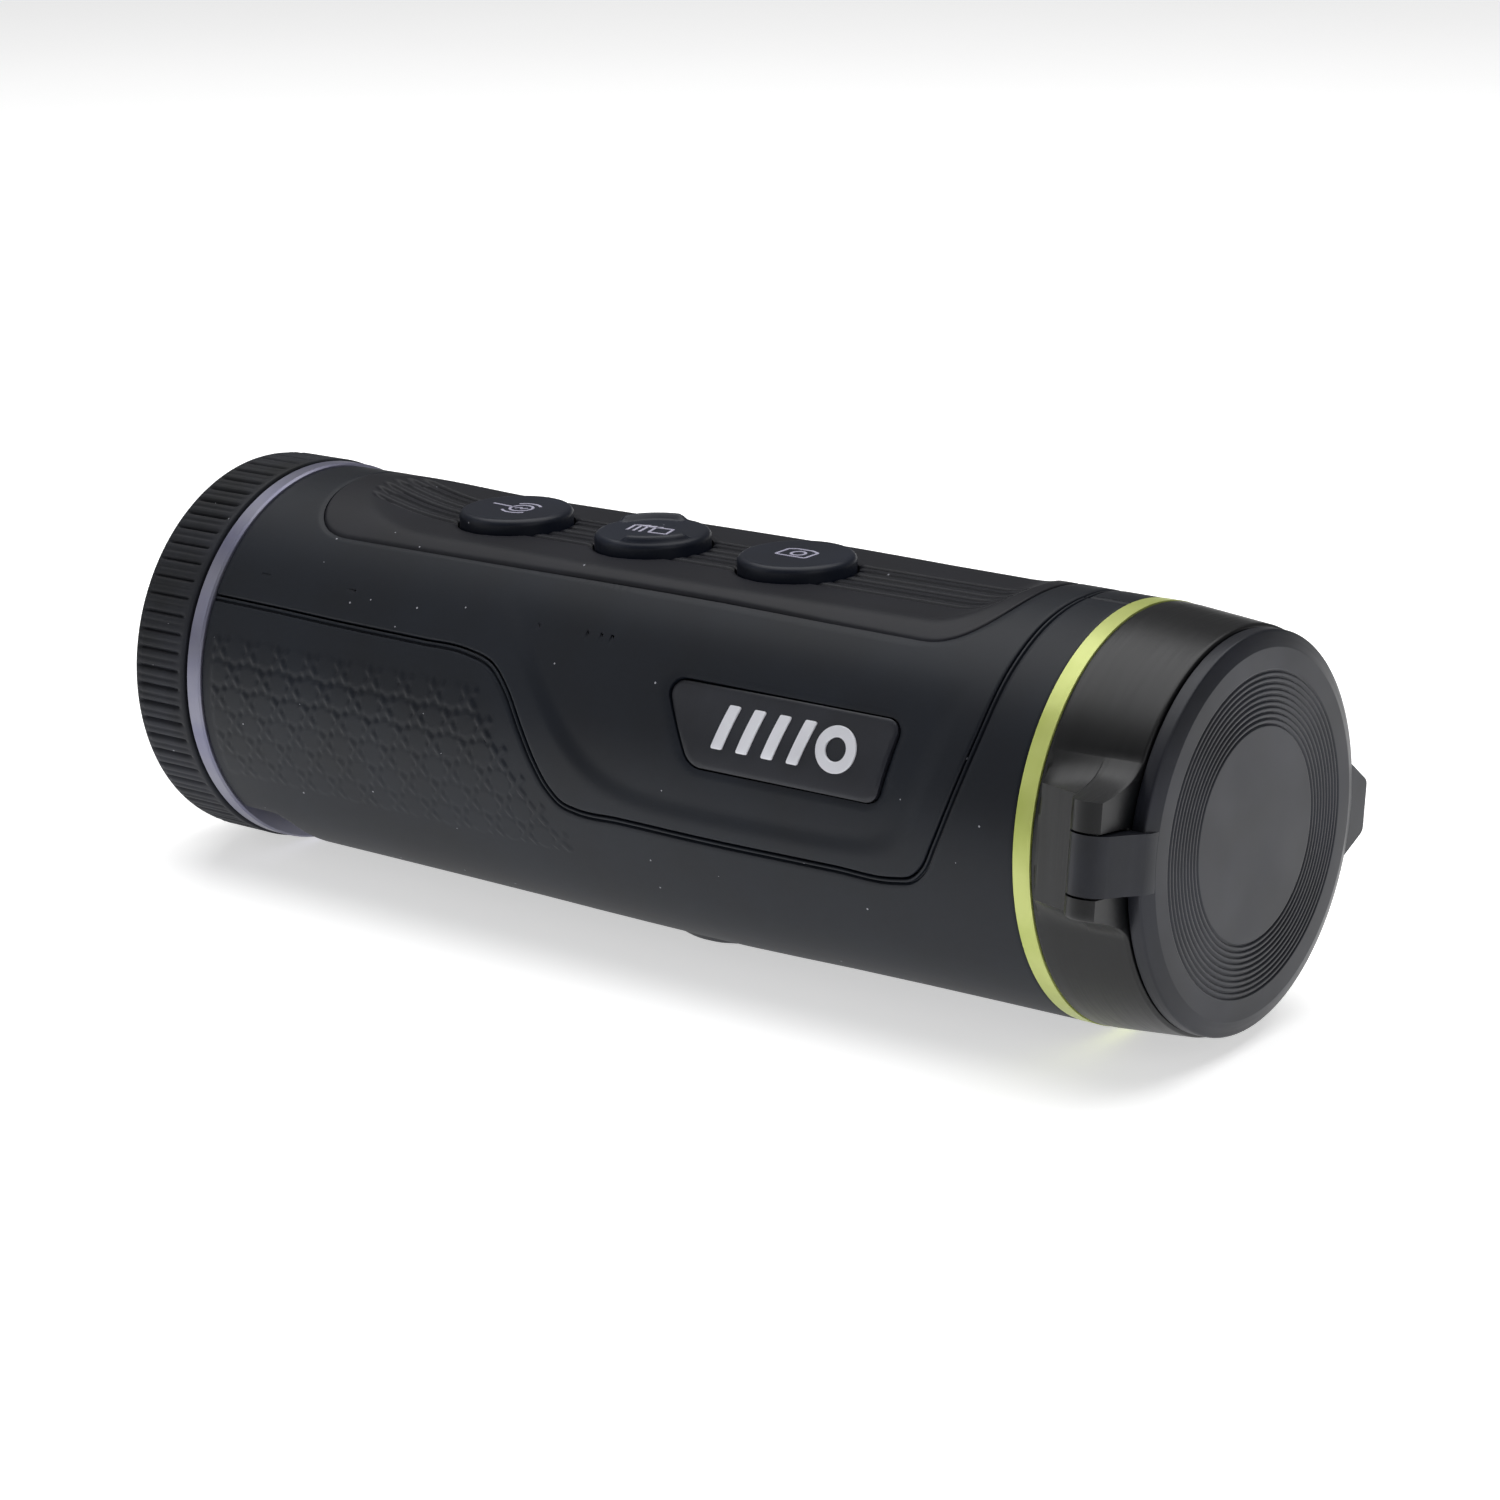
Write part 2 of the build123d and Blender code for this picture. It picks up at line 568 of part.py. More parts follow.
def nose_seal():
    return Pos(SEAL_X, 0, 0) * Rot(0, 90, 0) * Torus(NOSE_R - SEAL_R, SEAL_R - 0.02)


def accent_ring():
    return ring(COVER_FRONT_X, 0, FLANGE_R + RUN_GAP, COVER_R_FRONT + 0.05)


def lens_arc(rim_x, radius, curve):
    """Half section of a lens surface from the optical axis to its rim, bulging towards +X."""
    def x_at(r):
        return rim_x + math.sqrt(curve ** 2 - r ** 2) - math.sqrt(curve ** 2 - radius ** 2)
    return ThreePointArc((x_at(0), 0), (x_at(radius / 2), radius / 2), (rim_x, radius))


def lens(x0, x1, radius, front_curve, rear_curve):
    """Round lens: a rim from x0 to x1, a convex front and a concave rear of the given radii."""
    front = lens_arc(x1, radius, front_curve)
    rear = lens_arc(x0, radius, rear_curve)
    rim = Line((x1, radius), (x0, radius))
    axis = Line(rear @ 0, front @ 0)
    return revolve(make_face([*front.edges(), *rim.edges(), *rear.edges(), *axis.edges()]), axis=Axis.X)


def focus_cell():
    outer = BARREL_BORE_R - RUN_GAP
    return turned((CELL_X[0], REAR_LENS_R - 1), (REAR_LENS_X[0], REAR_LENS_R - 1),
                  (REAR_LENS_X[0], REAR_LENS_R + 0.05), (REAR_LENS_X[1] + 1, REAR_LENS_R + 0.05),
                  (FRONT_LENS_X[0] - 4, FRONT_LENS_R - 1), (FRONT_LENS_X[0], FRONT_LENS_R - 1),
                  (FRONT_LENS_X[0], FRONT_LENS_R + 0.05), (CELL_X[1], FRONT_LENS_R + 0.05),
                  (CELL_X[1], outer), (CELL_X[0], outer))


def front_lens():
    return lens(*FRONT_LENS_X, FRONT_LENS_R, 62.0, 95.0)


def rear_lens():
    return lens(*REAR_LENS_X, REAR_LENS_R, 60.0, 200.0)


def lens_retainer():
    x0 = FRONT_LENS_X[1] + LENS_SEAT_GAP
    return turned((x0, FRONT_LENS_R - 1.0), (CELL_X[1] - 0.4, FRONT_LENS_R - 0.4),
                  (CELL_X[1] - 0.4, FRONT_LENS_R), (x0, FRONT_LENS_R))


def circlip():
    whole = ring(*CIRCLIP_X, *CIRCLIP_R)
    return clocked(whole - block(CIRCLIP_X, (-2, 2), (0, BIG)))


UPPER_EAR_Z = (KNUCKLE_LENGTH / 2 - 0.4 + EAR_GAP, KNUCKLE_LENGTH / 2 - 0.4 + EAR_GAP + UPPER_EAR_LENGTH)
LOWER_EAR_Z = (-KNUCKLE_LENGTH / 2 - 0.4 - EAR_GAP - LOWER_EAR_LENGTH, -KNUCKLE_LENGTH / 2 - 0.4 - EAR_GAP)
KNUCKLE_Z = (LOWER_EAR_Z[1] + EAR_GAP, UPPER_EAR_Z[0] - EAR_GAP)


def barrel_on_pin(span, radius):
    return post(PIN_X, -PIN_OFFSET, *span, radius)


def ear(span):
    """One ear of the hinge: a round end on the pin and a web back to the focus ring."""
    web = block((PIN_X - KNUCKLE_R, BEZEL_LENGTH), (-PIN_OFFSET, -BEZEL_MOUTH_R - 3), span)
    return barrel_on_pin(span, KNUCKLE_R) + web


def fairing():
    """Concave sweep above the upper ear."""
    y = -PIN_OFFSET - KNUCKLE_R
    z0 = UPPER_EAR_Z[1]
    body = block((PIN_X - KNUCKLE_R, BEZEL_LENGTH), (y, -BEZEL_MOUTH_R - 3), (z0, z0 + FAIRING_R - 2))
    scoop = Pos((PIN_X + BEZEL_LENGTH) / 2, y - 0.8, z0 + FAIRING_R) * Rot(0, 90, 0)
    return body - scoop * Cylinder(FAIRING_R, BEZEL_LENGTH)


def focus_ring():
    rear = 0.12
    shell = turned((rear, NOSE_R + RUN_GAP), (NOSE_LENGTH + FIT_GAP * 2, NOSE_R + RUN_GAP),
                   (NOSE_LENGTH + FIT_GAP * 2, BEZEL_MOUTH_R), (BEZEL_LENGTH, BEZEL_MOUTH_R + 0.8),
                   (BEZEL_LENGTH, BEZEL_R_FRONT - EDGE), (BEZEL_LENGTH - EDGE, BEZEL_R_FRONT),
                   (rear, COVER_R_FRONT - 0.1))
    hinge = ear(UPPER_EAR_Z) + ear(LOWER_EAR_Z) + fairing()
    hinge -= disc(-1, BEZEL_LENGTH + 1, BEZEL_R_FRONT - 1.5)
    body = shell + hinge
    body -= ring(CIRCLIP_X[0] - 0.05, CIRCLIP_X[1] + 0.05, NOSE_R - 1, CIRCLIP_R[1] + 0.05)
    body -= post(PIN_X, -PIN_OFFSET, LOWER_EAR_Z[0] + 0.6, UPPER_EAR_Z[1] + 20, PIN_R)
    return clocked(body)


def hinge_pin():
    return clocked(post(PIN_X, -PIN_OFFSET, LOWER_EAR_Z[0] + 0.6, UPPER_EAR_Z[1] - 0.2, PIN_R))


# ---------------------------------------------------------------- lens cap
CAP_RIM_T = 1.6
CAP_CHAMFER_W = 1.6
CAP_GROOVE_R = (14.9, 22.0)
CAP_GROOVE_COUNT = 10
CAP_GROOVE_W = 0.3
CAP_GROOVE_DEPTH = 0.18
TAB_ROOT_HALF = 6.6
TAB_TIP_HALF = 3.4
LINER_X = BEZEL_LENGTH - 2.0


def cap_front_outline():
    """Points along the cap's front face from the rim to the centre, with the fine grooves."""
    points = []
    step = (CAP_GROOVE_R[1] - CAP_GROOVE_R[0]) / (CAP_GROOVE_COUNT - 1)
    for index in reversed(range(CAP_GROOVE_COUNT)):
        r = CAP_GROOVE_R[0] + index * step
        points += [(CAP_FRONT_X, r + CAP_GROOVE_W / 2), (CAP_FRONT_X - CAP_GROOVE_DEPTH, r),
                   (CAP_FRONT_X, r - CAP_GROOVE_W / 2)]
    return points


def lens_cap():
    inner_x = CAP_FRONT_X - CAP_SKIN
    cup = turned((inner_x, 0), (inner_x, CAP_R - CAP_RIM_T), (CAP_REAR_X, CAP_R - CAP_RIM_T),
                 (CAP_REAR_X, CAP_R), (CAP_EDGE_X, CAP_R), (CAP_FRONT_X, CAP_R - CAP_CHAMFER_W),
                 *cap_front_outline(), (CAP_FRONT_X, 0))
    root = CAP_R - CAP_RIM_T
    tab_plan = Polygon((root, -TAB_ROOT_HALF), (TAB_REACH, -TAB_TIP_HALF), (TAB_REACH, TAB_TIP_HALF),
                       (root, TAB_ROOT_HALF), align=None)
    tab = Pos(CAP_REAR_X, 0, 0) * extrude(Plane.YZ * tab_plan, CAP_EDGE_X - CAP_REAR_X)
    inner_y = -PIN_OFFSET + KNUCKLE_R
    arm_plan = Polygon((PIN_X, -PIN_OFFSET), (PIN_X + KNUCKLE_R, -PIN_OFFSET), (CAP_EDGE_X, inner_y - 1),
                       (CAP_EDGE_X, -root), (CAP_REAR_X, -root), (CAP_REAR_X, inner_y),
                       (PIN_X, inner_y), align=None)
    arm = Pos(0, 0, KNUCKLE_Z[0]) * extrude(arm_plan, KNUCKLE_Z[1] - KNUCKLE_Z[0])
    knuckle = barrel_on_pin(KNUCKLE_Z, KNUCKLE_R)
    cap = cup + tab + arm + knuckle
    return clocked(cap - barrel_on_pin(KNUCKLE_Z, PIN_R + RUN_GAP))


def cap_liner():
    """Soft ring inside the cap that closes on the focus ring's mouth."""
    inner_x = CAP_FRONT_X - CAP_SKIN
    return clocked(turned((LINER_X, BEZEL_MOUTH_R - 1.6), (LINER_X, BEZEL_MOUTH_R - 0.4),
                          (inner_x, BEZEL_MOUTH_R + 0.2), (inner_x, BEZEL_MOUTH_R - 2.2)))


def tripod_insert():
    insert = post(TRIPOD_X, 0, TRIPOD_MOUTH_Z, tripod_top(), TRIPOD_INSERT_R - RUN_GAP)
    return insert - post(TRIPOD_X, 0, TRIPOD_MOUTH_Z, TRIPOD_MOUTH_Z + TRIPOD_DEPTH, TRIPOD_HOLE_R)


# ---------------------------------------------------------------- eyepiece
EYE_FLANGE_T = 3.0
EYE_TUBE_REAR_X = DIOPTER_REAR_X + 0.6
EYE_CELL_X = (EYE_TUBE_REAR_X + 2.4, -138.0)
EYE_LENS_R = 14.5
EYE_OUTER_LENS_X = (EYE_CELL_X[0] + 2.6, EYE_CELL_X[0] + 5.6)
EYE_INNER_LENS_X = (-145.0, -141.5)
DIOPTER_CORE_R = 27.4
EYECUP_PROUD = 7.5
EYECUP_R = 21.5
REAR_SCREW_R = 22.7
REAR_SCREW_COUNT = 3


def eye_tube():
    """Fixed eyepiece tube with the flange that closes the core's rear end."""
    front_r = EYE_BORE_R + 1.1
    flange_x = COVER_REAR_X + EYE_FLANGE_T
    tube = turned((EYE_TUBE_REAR_X, EYE_BORE_R), (DISPLAY_X, EYE_BORE_R), (DISPLAY_X, front_r),
                  (flange_x, front_r), (flange_x, CORE_BORE_R - RUN_GAP), (COVER_REAR_X, CORE_BORE_R - RUN_GAP),
                  (COVER_REAR_X, EYE_TUBE_R), (EYE_TUBE_REAR_X, EYE_TUBE_R))
    for place in rear_screw_places():
        tube -= place * disc(COVER_REAR_X, flange_x, SCREW_R)
    return tube


def rear_screw_places():
    for index in range(REAR_SCREW_COUNT):
        yield Rot(index * 360 / REAR_SCREW_COUNT, 0, 0) * Pos(0, 0, REAR_SCREW_R)


def rear_ring():
    bevel = 0.3
    body = turned((REAR_RING_X, EYE_TUBE_R + FIT_GAP), (COVER_REAR_X, EYE_TUBE_R + FIT_GAP),
                  (COVER_REAR_X, REAR_RING_R - bevel), (COVER_REAR_X - bevel, REAR_RING_R),
                  (REAR_RING_X + bevel, REAR_RING_R), (REAR_RING_X, REAR_RING_R - bevel))
    for place in rear_screw_places():
        body -= place * disc(REAR_RING_X, COVER_REAR_X, SCREW_R + FIT_GAP)
        body -= place * disc(REAR_RING_X, REAR_RING_X + SCREW_HEAD_T + 0.3, SCREW_HEAD_R + FIT_GAP)
    return body - strap_pin(FIT_GAP / 3)


def rear_screws():
    head_x = REAR_RING_X + 0.3
    seat_x = head_x + SCREW_HEAD_T
    return [place * (disc(head_x, seat_x, SCREW_HEAD_R) + disc(seat_x, COVER_REAR_X + EYE_FLANGE_T, SCREW_R))
            for place in rear_screw_places()]


def flange_seal():
    """O-ring between the rear flange and the rear ring."""
    return Pos(COVER_REAR_X + EYE_FLANGE_T + 0.9, 0, 0) * Rot(0, 90, 0) * Torus(CORE_BORE_R - 0.95, 0.85)


def eye_cell():
    outer = EYE_BORE_R - RUN_GAP
    seat = EYE_LENS_R + 0.05
    stop = EYE_LENS_R - 1.2
    return turned((EYE_CELL_X[0], seat), (EYE_OUTER_LENS_X[1], seat), (EYE_OUTER_LENS_X[1], stop),
                  (EYE_INNER_LENS_X[0], stop), (EYE_INNER_LENS_X[0], seat), (EYE_CELL_X[1], seat),
                  (EYE_CELL_X[1], outer), (EYE_CELL_X[0], outer))


def eye_outer_lens():
    x0, x1 = EYE_OUTER_LENS_X
    return mirror_along_x(lens(-x1, -x0, EYE_LENS_R, 70.0, 150.0))


def eye_inner_lens():
    return lens(*EYE_INNER_LENS_X, EYE_LENS_R, 60.0, 140.0)


def mirror_along_x(shape):
    return mirror(shape, about=Plane.YZ)


def eye_retainers():
    ring_r = (EYE_LENS_R - 1.2, EYE_LENS_R)
    return [ring(EYE_CELL_X[0] + 0.3, EYE_OUTER_LENS_X[0] - LENS_SEAT_GAP, *ring_r),
            ring(EYE_INNER_LENS_X[1] + LENS_SEAT_GAP, EYE_CELL_X[1] - 0.3, *ring_r)]


def diopter_core():
    return ring(DIOPTER_REAR_X, DIOPTER_FRONT_X, EYE_TUBE_R + RUN_GAP, DIOPTER_CORE_R)


def rib_outline():
    """Closed outline of the ribbed grip: one trapezium per rib round the circle."""
    points = []
    for index in range(RIB_COUNT):
        for share, radius in ((0.0, DIOPTER_R - RIB_DEPTH), (0.4, DIOPTER_R - RIB_DEPTH),
                              (0.55, DIOPTER_R), (0.85, DIOPTER_R)):
            angle = 2 * math.pi * (index + share) / RIB_COUNT
            points.append((radius * math.cos(angle), radius * math.sin(angle)))
    return Polygon(*points, align=None)


def diopter_grip():
    length = DIOPTER_FRONT_X - DIOPTER_REAR_X
    ribbed = Pos(DIOPTER_REAR_X, 0, 0) * extrude(Plane.YZ * rib_outline(), length)
    bevel = 1.2
    envelope = turned((DIOPTER_REAR_X, 0), (DIOPTER_FRONT_X, 0), (DIOPTER_FRONT_X, DIOPTER_R - RIB_DEPTH),
                      (DIOPTER_FRONT_X - bevel, DIOPTER_R), (DIOPTER_REAR_X + bevel, DIOPTER_R),
                      (DIOPTER_REAR_X, DIOPTER_R - RIB_DEPTH))
    return (ribbed & envelope) - disc(DIOPTER_REAR_X, DIOPTER_FRONT_X, DIOPTER_CORE_R)


def eyecup():
    x0, x1 = DIOPTER_REAR_X, DIOPTER_REAR_X - EYECUP_PROUD
    return turned((x0, EYE_BORE_R), (x0, EYECUP_R + 2.0), (x0 - 1.4, EYECUP_R + 2.0), (x0 - 1.8, EYECUP_R),
                  (x1 + 0.6, EYECUP_R), (x1, EYECUP_R - 0.6), (x1, EYECUP_R - 1.6), (x1 + 0.8, EYECUP_R - 2.0),
                  (x0 - 1.8, EYE_BORE_R + 1.2), (x0 - 1.4, EYE_BORE_R))


# ---------------------------------------------------------------- assembly
def assembly():
    """Every node by name: a shape, or a list of separate identical solids."""
    return {
        "upper_cover": upper_cover(), "lower_grip": lower_grip(), "core_tube": core_tube(),
        "key_panel": key_panel(), "zoom_key": key(KEY_X[0]), "palette_key": key(KEY_X[1]),
        "capture_key": key(KEY_X[2]), "key_board": key_board(), "dome_switches": dome_switches(),
        "badge_plate": badge_plate(), "badge_mark": badge_mark(),
        "accent_ring": accent_ring(), "focus_ring": focus_ring(), "circlip": circlip(),
        "nose_seal": nose_seal(), "hinge_pin": hinge_pin(), "lens_cap": lens_cap(),
        "cap_liner": cap_liner(), "lens_barrel": lens_barrel(), "focus_cell": focus_cell(),
        "front_lens": front_lens(), "rear_lens": rear_lens(), "lens_retainer": lens_retainer(),
        "shutter_plate": shutter_plate(), "shutter_blade": shutter_blade(), "detector": detector(),
        "detector_window": detector_window(), "sensor_board": sensor_board(),
        "main_board": main_board(), "board_screws": board_screws(), "shield_can": shield_can(),
        "battery_cell": battery_cell(), "battery_cradle": battery_cradle(),
        "port_board": port_board(), "port_socket": port_socket(), "port_cover": port_cover(),
        "tripod_insert": tripod_insert(), "strap_pin": strap_pin(0),
        "rear_ring": rear_ring(), "rear_screws": rear_screws(), "flange_seal": flange_seal(),
        "eye_tube": eye_tube(), "eye_cell": eye_cell(), "eye_outer_lens": eye_outer_lens(),
        "eye_inner_lens": eye_inner_lens(), "eye_retainers": eye_retainers(),
        "display_holder": display_holder(), "display_module": display_module(),
        "diopter_core": diopter_core(), "diopter_grip": diopter_grip(), "eyecup": eyecup(),
    }


def save(name, shape):
    """Write one node with the tripod socket's mouth at the origin."""
    solids = shape if isinstance(shape, list) else [shape]
    moved = [Pos(-TRIPOD_X, 0, -TRIPOD_MOUTH_Z) * solid for solid in solids]
    whole = moved[0] if len(moved) == 1 else Compound(children=moved)
    export_step(whole, f"parts/{name}.step")


os.makedirs("parts", exist_ok=True)
for node, piece in assembly().items():
    save(node, piece)
    print(node)
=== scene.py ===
# %% [markdown]
# # A thermal imaging monocular, from the CAD frame to its looks
# The CAD model fixes every size and every joint.
# Here the pieces that show get dense surfaces, with their soft edges, grips and grooves.
# Every piece then gets a finish that is worked out from a real one.

# %% Load the frame
import json

import bpy
import numpy as np
from mathutils import Matrix, Vector

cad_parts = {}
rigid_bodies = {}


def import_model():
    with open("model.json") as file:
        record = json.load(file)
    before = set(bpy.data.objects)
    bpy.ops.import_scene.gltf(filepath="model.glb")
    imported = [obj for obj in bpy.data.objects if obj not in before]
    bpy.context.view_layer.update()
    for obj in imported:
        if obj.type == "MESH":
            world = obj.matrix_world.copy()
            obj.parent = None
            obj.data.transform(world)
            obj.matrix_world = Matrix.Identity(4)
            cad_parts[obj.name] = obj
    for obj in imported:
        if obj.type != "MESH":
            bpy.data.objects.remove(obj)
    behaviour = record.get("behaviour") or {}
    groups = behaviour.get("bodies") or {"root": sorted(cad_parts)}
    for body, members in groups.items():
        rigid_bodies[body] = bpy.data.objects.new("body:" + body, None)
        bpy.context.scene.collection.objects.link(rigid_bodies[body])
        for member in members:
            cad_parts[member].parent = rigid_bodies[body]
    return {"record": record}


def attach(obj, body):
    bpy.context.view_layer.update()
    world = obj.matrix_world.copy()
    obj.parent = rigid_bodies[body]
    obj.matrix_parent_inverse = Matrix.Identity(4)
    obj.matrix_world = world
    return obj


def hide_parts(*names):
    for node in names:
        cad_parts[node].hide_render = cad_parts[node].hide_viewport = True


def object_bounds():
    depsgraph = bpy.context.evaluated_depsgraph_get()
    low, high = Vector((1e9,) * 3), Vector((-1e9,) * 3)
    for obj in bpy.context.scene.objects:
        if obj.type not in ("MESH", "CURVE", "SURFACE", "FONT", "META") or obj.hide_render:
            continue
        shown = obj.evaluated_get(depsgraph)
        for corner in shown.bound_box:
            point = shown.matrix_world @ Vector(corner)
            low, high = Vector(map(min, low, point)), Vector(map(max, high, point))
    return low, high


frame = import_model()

for stray in [o for o in bpy.data.objects if o.name in ("Cube", "Light", "Camera")]:
    bpy.data.objects.remove(stray)      # Blender's own start-up objects

MM = 0.001
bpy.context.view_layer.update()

# %% [markdown]
# ## Where things are
# The instrument is a tube, so places are given about its optical axis, in millimetres.
# x runs forwards and is 0 at the front of the coloured ring.
# An angle round the tube is 0 at the side with the badge and a quarter turn at the keys.
# The frame's own origin is the mouth of the tripod socket, so one function shifts and scales.

# %% Places about the optical axis
AXIS_IN_ROW = np.array([70.0, 0.0, 29.9])
ARC_R = 29.5                      # radius at which lengths round the body are measured
TOP = ARC_R * np.pi / 2           # arc from the badge side up to the keys
BOTTOM = -TOP
COVER_REAR, COVER_FRONT = -150.5, -2.6
SHELL_INSIDE = 26.82              # the covers sit on the core tube


def to_row(points):
    """Points about the optical axis in millimetres, as row frame metres: shifted, then scaled."""
    return (np.asarray(points, float) + AXIS_IN_ROW) * MM


def on_tube(x, arc, radius):
    """Point on a tube: y is minus radius times the cosine of arc / ARC_R, and z is radius times its sine."""
    angle = arc / ARC_R
    return np.stack(np.broadcast_arrays(x, -radius * np.cos(angle), radius * np.sin(angle)), -1)


def smooth(t):
    """Soft step: 0 below 0, 1 above 1, and 3t² - 2t³ between."""
    t = np.clip(t, 0, 1)
    return t * t * (3 - 2 * t)


# %% [markdown]
# ## Meshes from arrays
# A surface is a grid of points, and its faces are the cells between them.
# Grids that share an edge are welded by merging points that coincide.
# A cell that has shrunk at a pole becomes a triangle, so poles are closed too.

# %% Build meshes
def cells(rows, columns):
    """Faces of a grid whose points are numbered row by row: (i, j), (i+1, j), (i+1, j+1), (i, j+1)."""
    i, j = np.meshgrid(np.arange(rows - 1), np.arange(columns - 1), indexing="ij")
    a = (i * columns + j).ravel()
    return np.stack([a, a + columns, a + columns + 1, a + 1], -1)


def weld(points, faces, step=1e-4):
    """Points that agree to `step` become one. Corners that repeat drop out, and -1 fills a triangle's row."""
    keys, first, same = np.unique(np.round(points / step).astype(np.int64), axis=0,
                                  return_index=True, return_inverse=True)
    faces = np.where(faces < 0, -1, same.ravel()[faces])
    repeat = (faces == np.roll(faces, 1, axis=1)) & (faces >= 0)
    for corner in range(faces.shape[1]):          # four corners, each done for all the faces at once
        rows = repeat[:, corner]
        faces[rows, corner] = -1
    order = np.argsort(faces < 0, axis=1, kind="stable")
    faces = np.take_along_axis(faces, order, 1)
    faces = faces[(faces >= 0).sum(1) >= 3]
    used, renumbered = np.unique(faces, return_inverse=True)      # points that no face uses are dropped
    faces = renumbered.reshape(faces.shape) - (used[0] < 0)
    return points[first][used[used >= 0]], faces


def build(name, points, faces, sharp=40.0):
    """Mesh object from points about the optical axis.
    Edges that turn more than `sharp` degrees stay crisp."""
    points, faces = weld(points, faces)
    used = faces >= 0
    sizes = used.sum(1)
    mesh = bpy.data.meshes.new(name)
    mesh.vertices.add(len(points))
    mesh.vertices.foreach_set("co", to_row(points).ravel())
    mesh.loops.add(int(sizes.sum()))
    mesh.loops.foreach_set("vertex_index", faces[used].astype(np.int32))
    mesh.polygons.add(len(faces))
    mesh.polygons.foreach_set("loop_start", np.concatenate([[0], np.cumsum(sizes)[:-1]]).astype(np.int32))
    mesh.update(calc_edges=True)
    mesh.validate()
    mesh.shade_smooth()
    mesh.set_sharp_from_angle(angle=np.radians(sharp))
    piece = bpy.data.objects.new(name, mesh)
    bpy.context.scene.collection.objects.link(piece)
    print(f"{name}: {len(points)} points, {int((sizes - 2).sum())} triangles")
    return piece


def joined(*parts):
    """Several (points, faces) as one: each part's corner numbers move up by the points before it."""
    start = np.cumsum([0] + [len(points) for points, _ in parts])
    faces = [np.where(f < 0, -1, f + s) for (_, f), s in zip(parts, start)]
    return np.concatenate([p.reshape(-1, 3) for p, _ in parts]), np.concatenate(faces)


def surface(points):
    """A grid of points (rows, columns, 3) as (points, faces)."""
    return points.reshape(-1, 3), cells(*points.shape[:2])


def finish_piece(piece, body, slot, *replaced):
    """The piece moves with its body and stands for the CAD nodes, which are hidden. The slot argument is not used:
    the finish is given later, when every piece is dressed.
    """
    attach(piece, body)
    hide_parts(*replaced)
    return piece


# %% [markdown]
# ## Turned pieces
# Rings, cups, keys and lenses are turned shapes: one outline carried round an axis.
# Real edges are never sharp, so each corner of the outline is rounded first.

# %% Outlines and turning
def rounded(corners, radius, steps=5):
    """Closed outline with each corner replaced by an arc.
    The arc starts and ends radius / tan(half the corner's angle) from the corner."""
    c = np.asarray(corners, float)
    r = np.broadcast_to(radius, len(c)).astype(float)
    back, ahead = np.roll(c, 1, 0) - c, np.roll(c, -1, 0) - c
    lb, la = np.linalg.norm(back, axis=1), np.linalg.norm(ahead, axis=1)
    back, ahead = back / lb[:, None], ahead / la[:, None]
    half = np.arccos(np.clip((back * ahead).sum(1), -1, 1)) / 2
    cut = np.minimum(r / np.tan(half), 0.49 * np.minimum(lb, la))
    t = np.linspace(0, 1, steps)[None, :, None]
    a, b, m = (c + back * cut[:, None])[:, None], (c + ahead * cut[:, None])[:, None], c[:, None]
    return ((1 - t) ** 2 * a + 2 * t * (1 - t) * m + t ** 2 * b).reshape(-1, 2)


def spaced(outline, step, closed=True):
    """Outline with extra points, so that no stretch is longer than `step`."""
    p = np.concatenate([outline, outline[:1]]) if closed else np.asarray(outline, float)
    length = np.concatenate([[0], np.cumsum(np.linalg.norm(np.diff(p, axis=0), axis=1))])
    extra = np.arange(0, length[-1], step)
    at = np.unique(np.round(np.concatenate([length, extra]), 5))
    out = np.stack([np.interp(at, length, p[:, k]) for k in (0, 1)], -1)
    return out[:-1] if closed else out


def turned(outline, steps=192, relief=None):
    """Closed outline of (x, radius) carried round the optical axis.
    relief(x, radius, angle) is added to the radius. The outline runs rear to front on the outside."""
    p = np.concatenate([outline, outline[:1]])
    angle = np.linspace(0, 2 * np.pi, steps + 1)
    x, r, a = p[:, :1], p[:, 1:], angle[None, :]
    radius = r + (relief(x, r, a) if relief is not None else 0)
    grid = np.stack(np.broadcast_arrays(x, -radius * np.cos(a), radius * np.sin(a)), -1)
    grid[:, -1] = grid[:, 0]
    return surface(grid)


def button(outline, x0, steps=128, lift=None):
    """Outline of (radius, z) from the top's middle down to the foot, carried round the line x = x0, y = 0.
    lift(x, y) is added to z on the top."""
    p = np.asarray(outline, float)
    a = np.linspace(0, 2 * np.pi, steps + 1)[None, :]
    x, y, z = p[:, :1] * np.cos(a), p[:, :1] * np.sin(a), p[:, 1:] + 0 * a
    if lift is not None:
        z = z + lift(x, y, z)
    grid = np.stack([x + x0, y, z], -1)
    grid[:, -1] = grid[:, 0]
    return surface(grid)


def prism(outline, low, high, place):
    """Closed outline (counter-clockwise) pushed from low to high, with both ends closed by fans.
    place(a, b, h) turns outline places and height into points."""
    p = np.concatenate([outline, outline[:1]])
    middle = outline.mean(0)
    def row(shape, h):
        return place(shape[:, 0], shape[:, 1], np.full(len(shape), h))
    centre = np.repeat(middle[None], len(p), 0)
    return surface(np.stack([row(centre, high), row(p, high), row(p, low), row(centre, low)]))


# %% [markdown]
# ## The parting line of the two covers
# Two soft-touch covers wrap the tube and meet along a fine line.
# It runs high at the rear, dips under the badge, and climbs round the front as a collar.
# The line is a smooth curve through a few places, as a pattern maker would draw it with a spline.

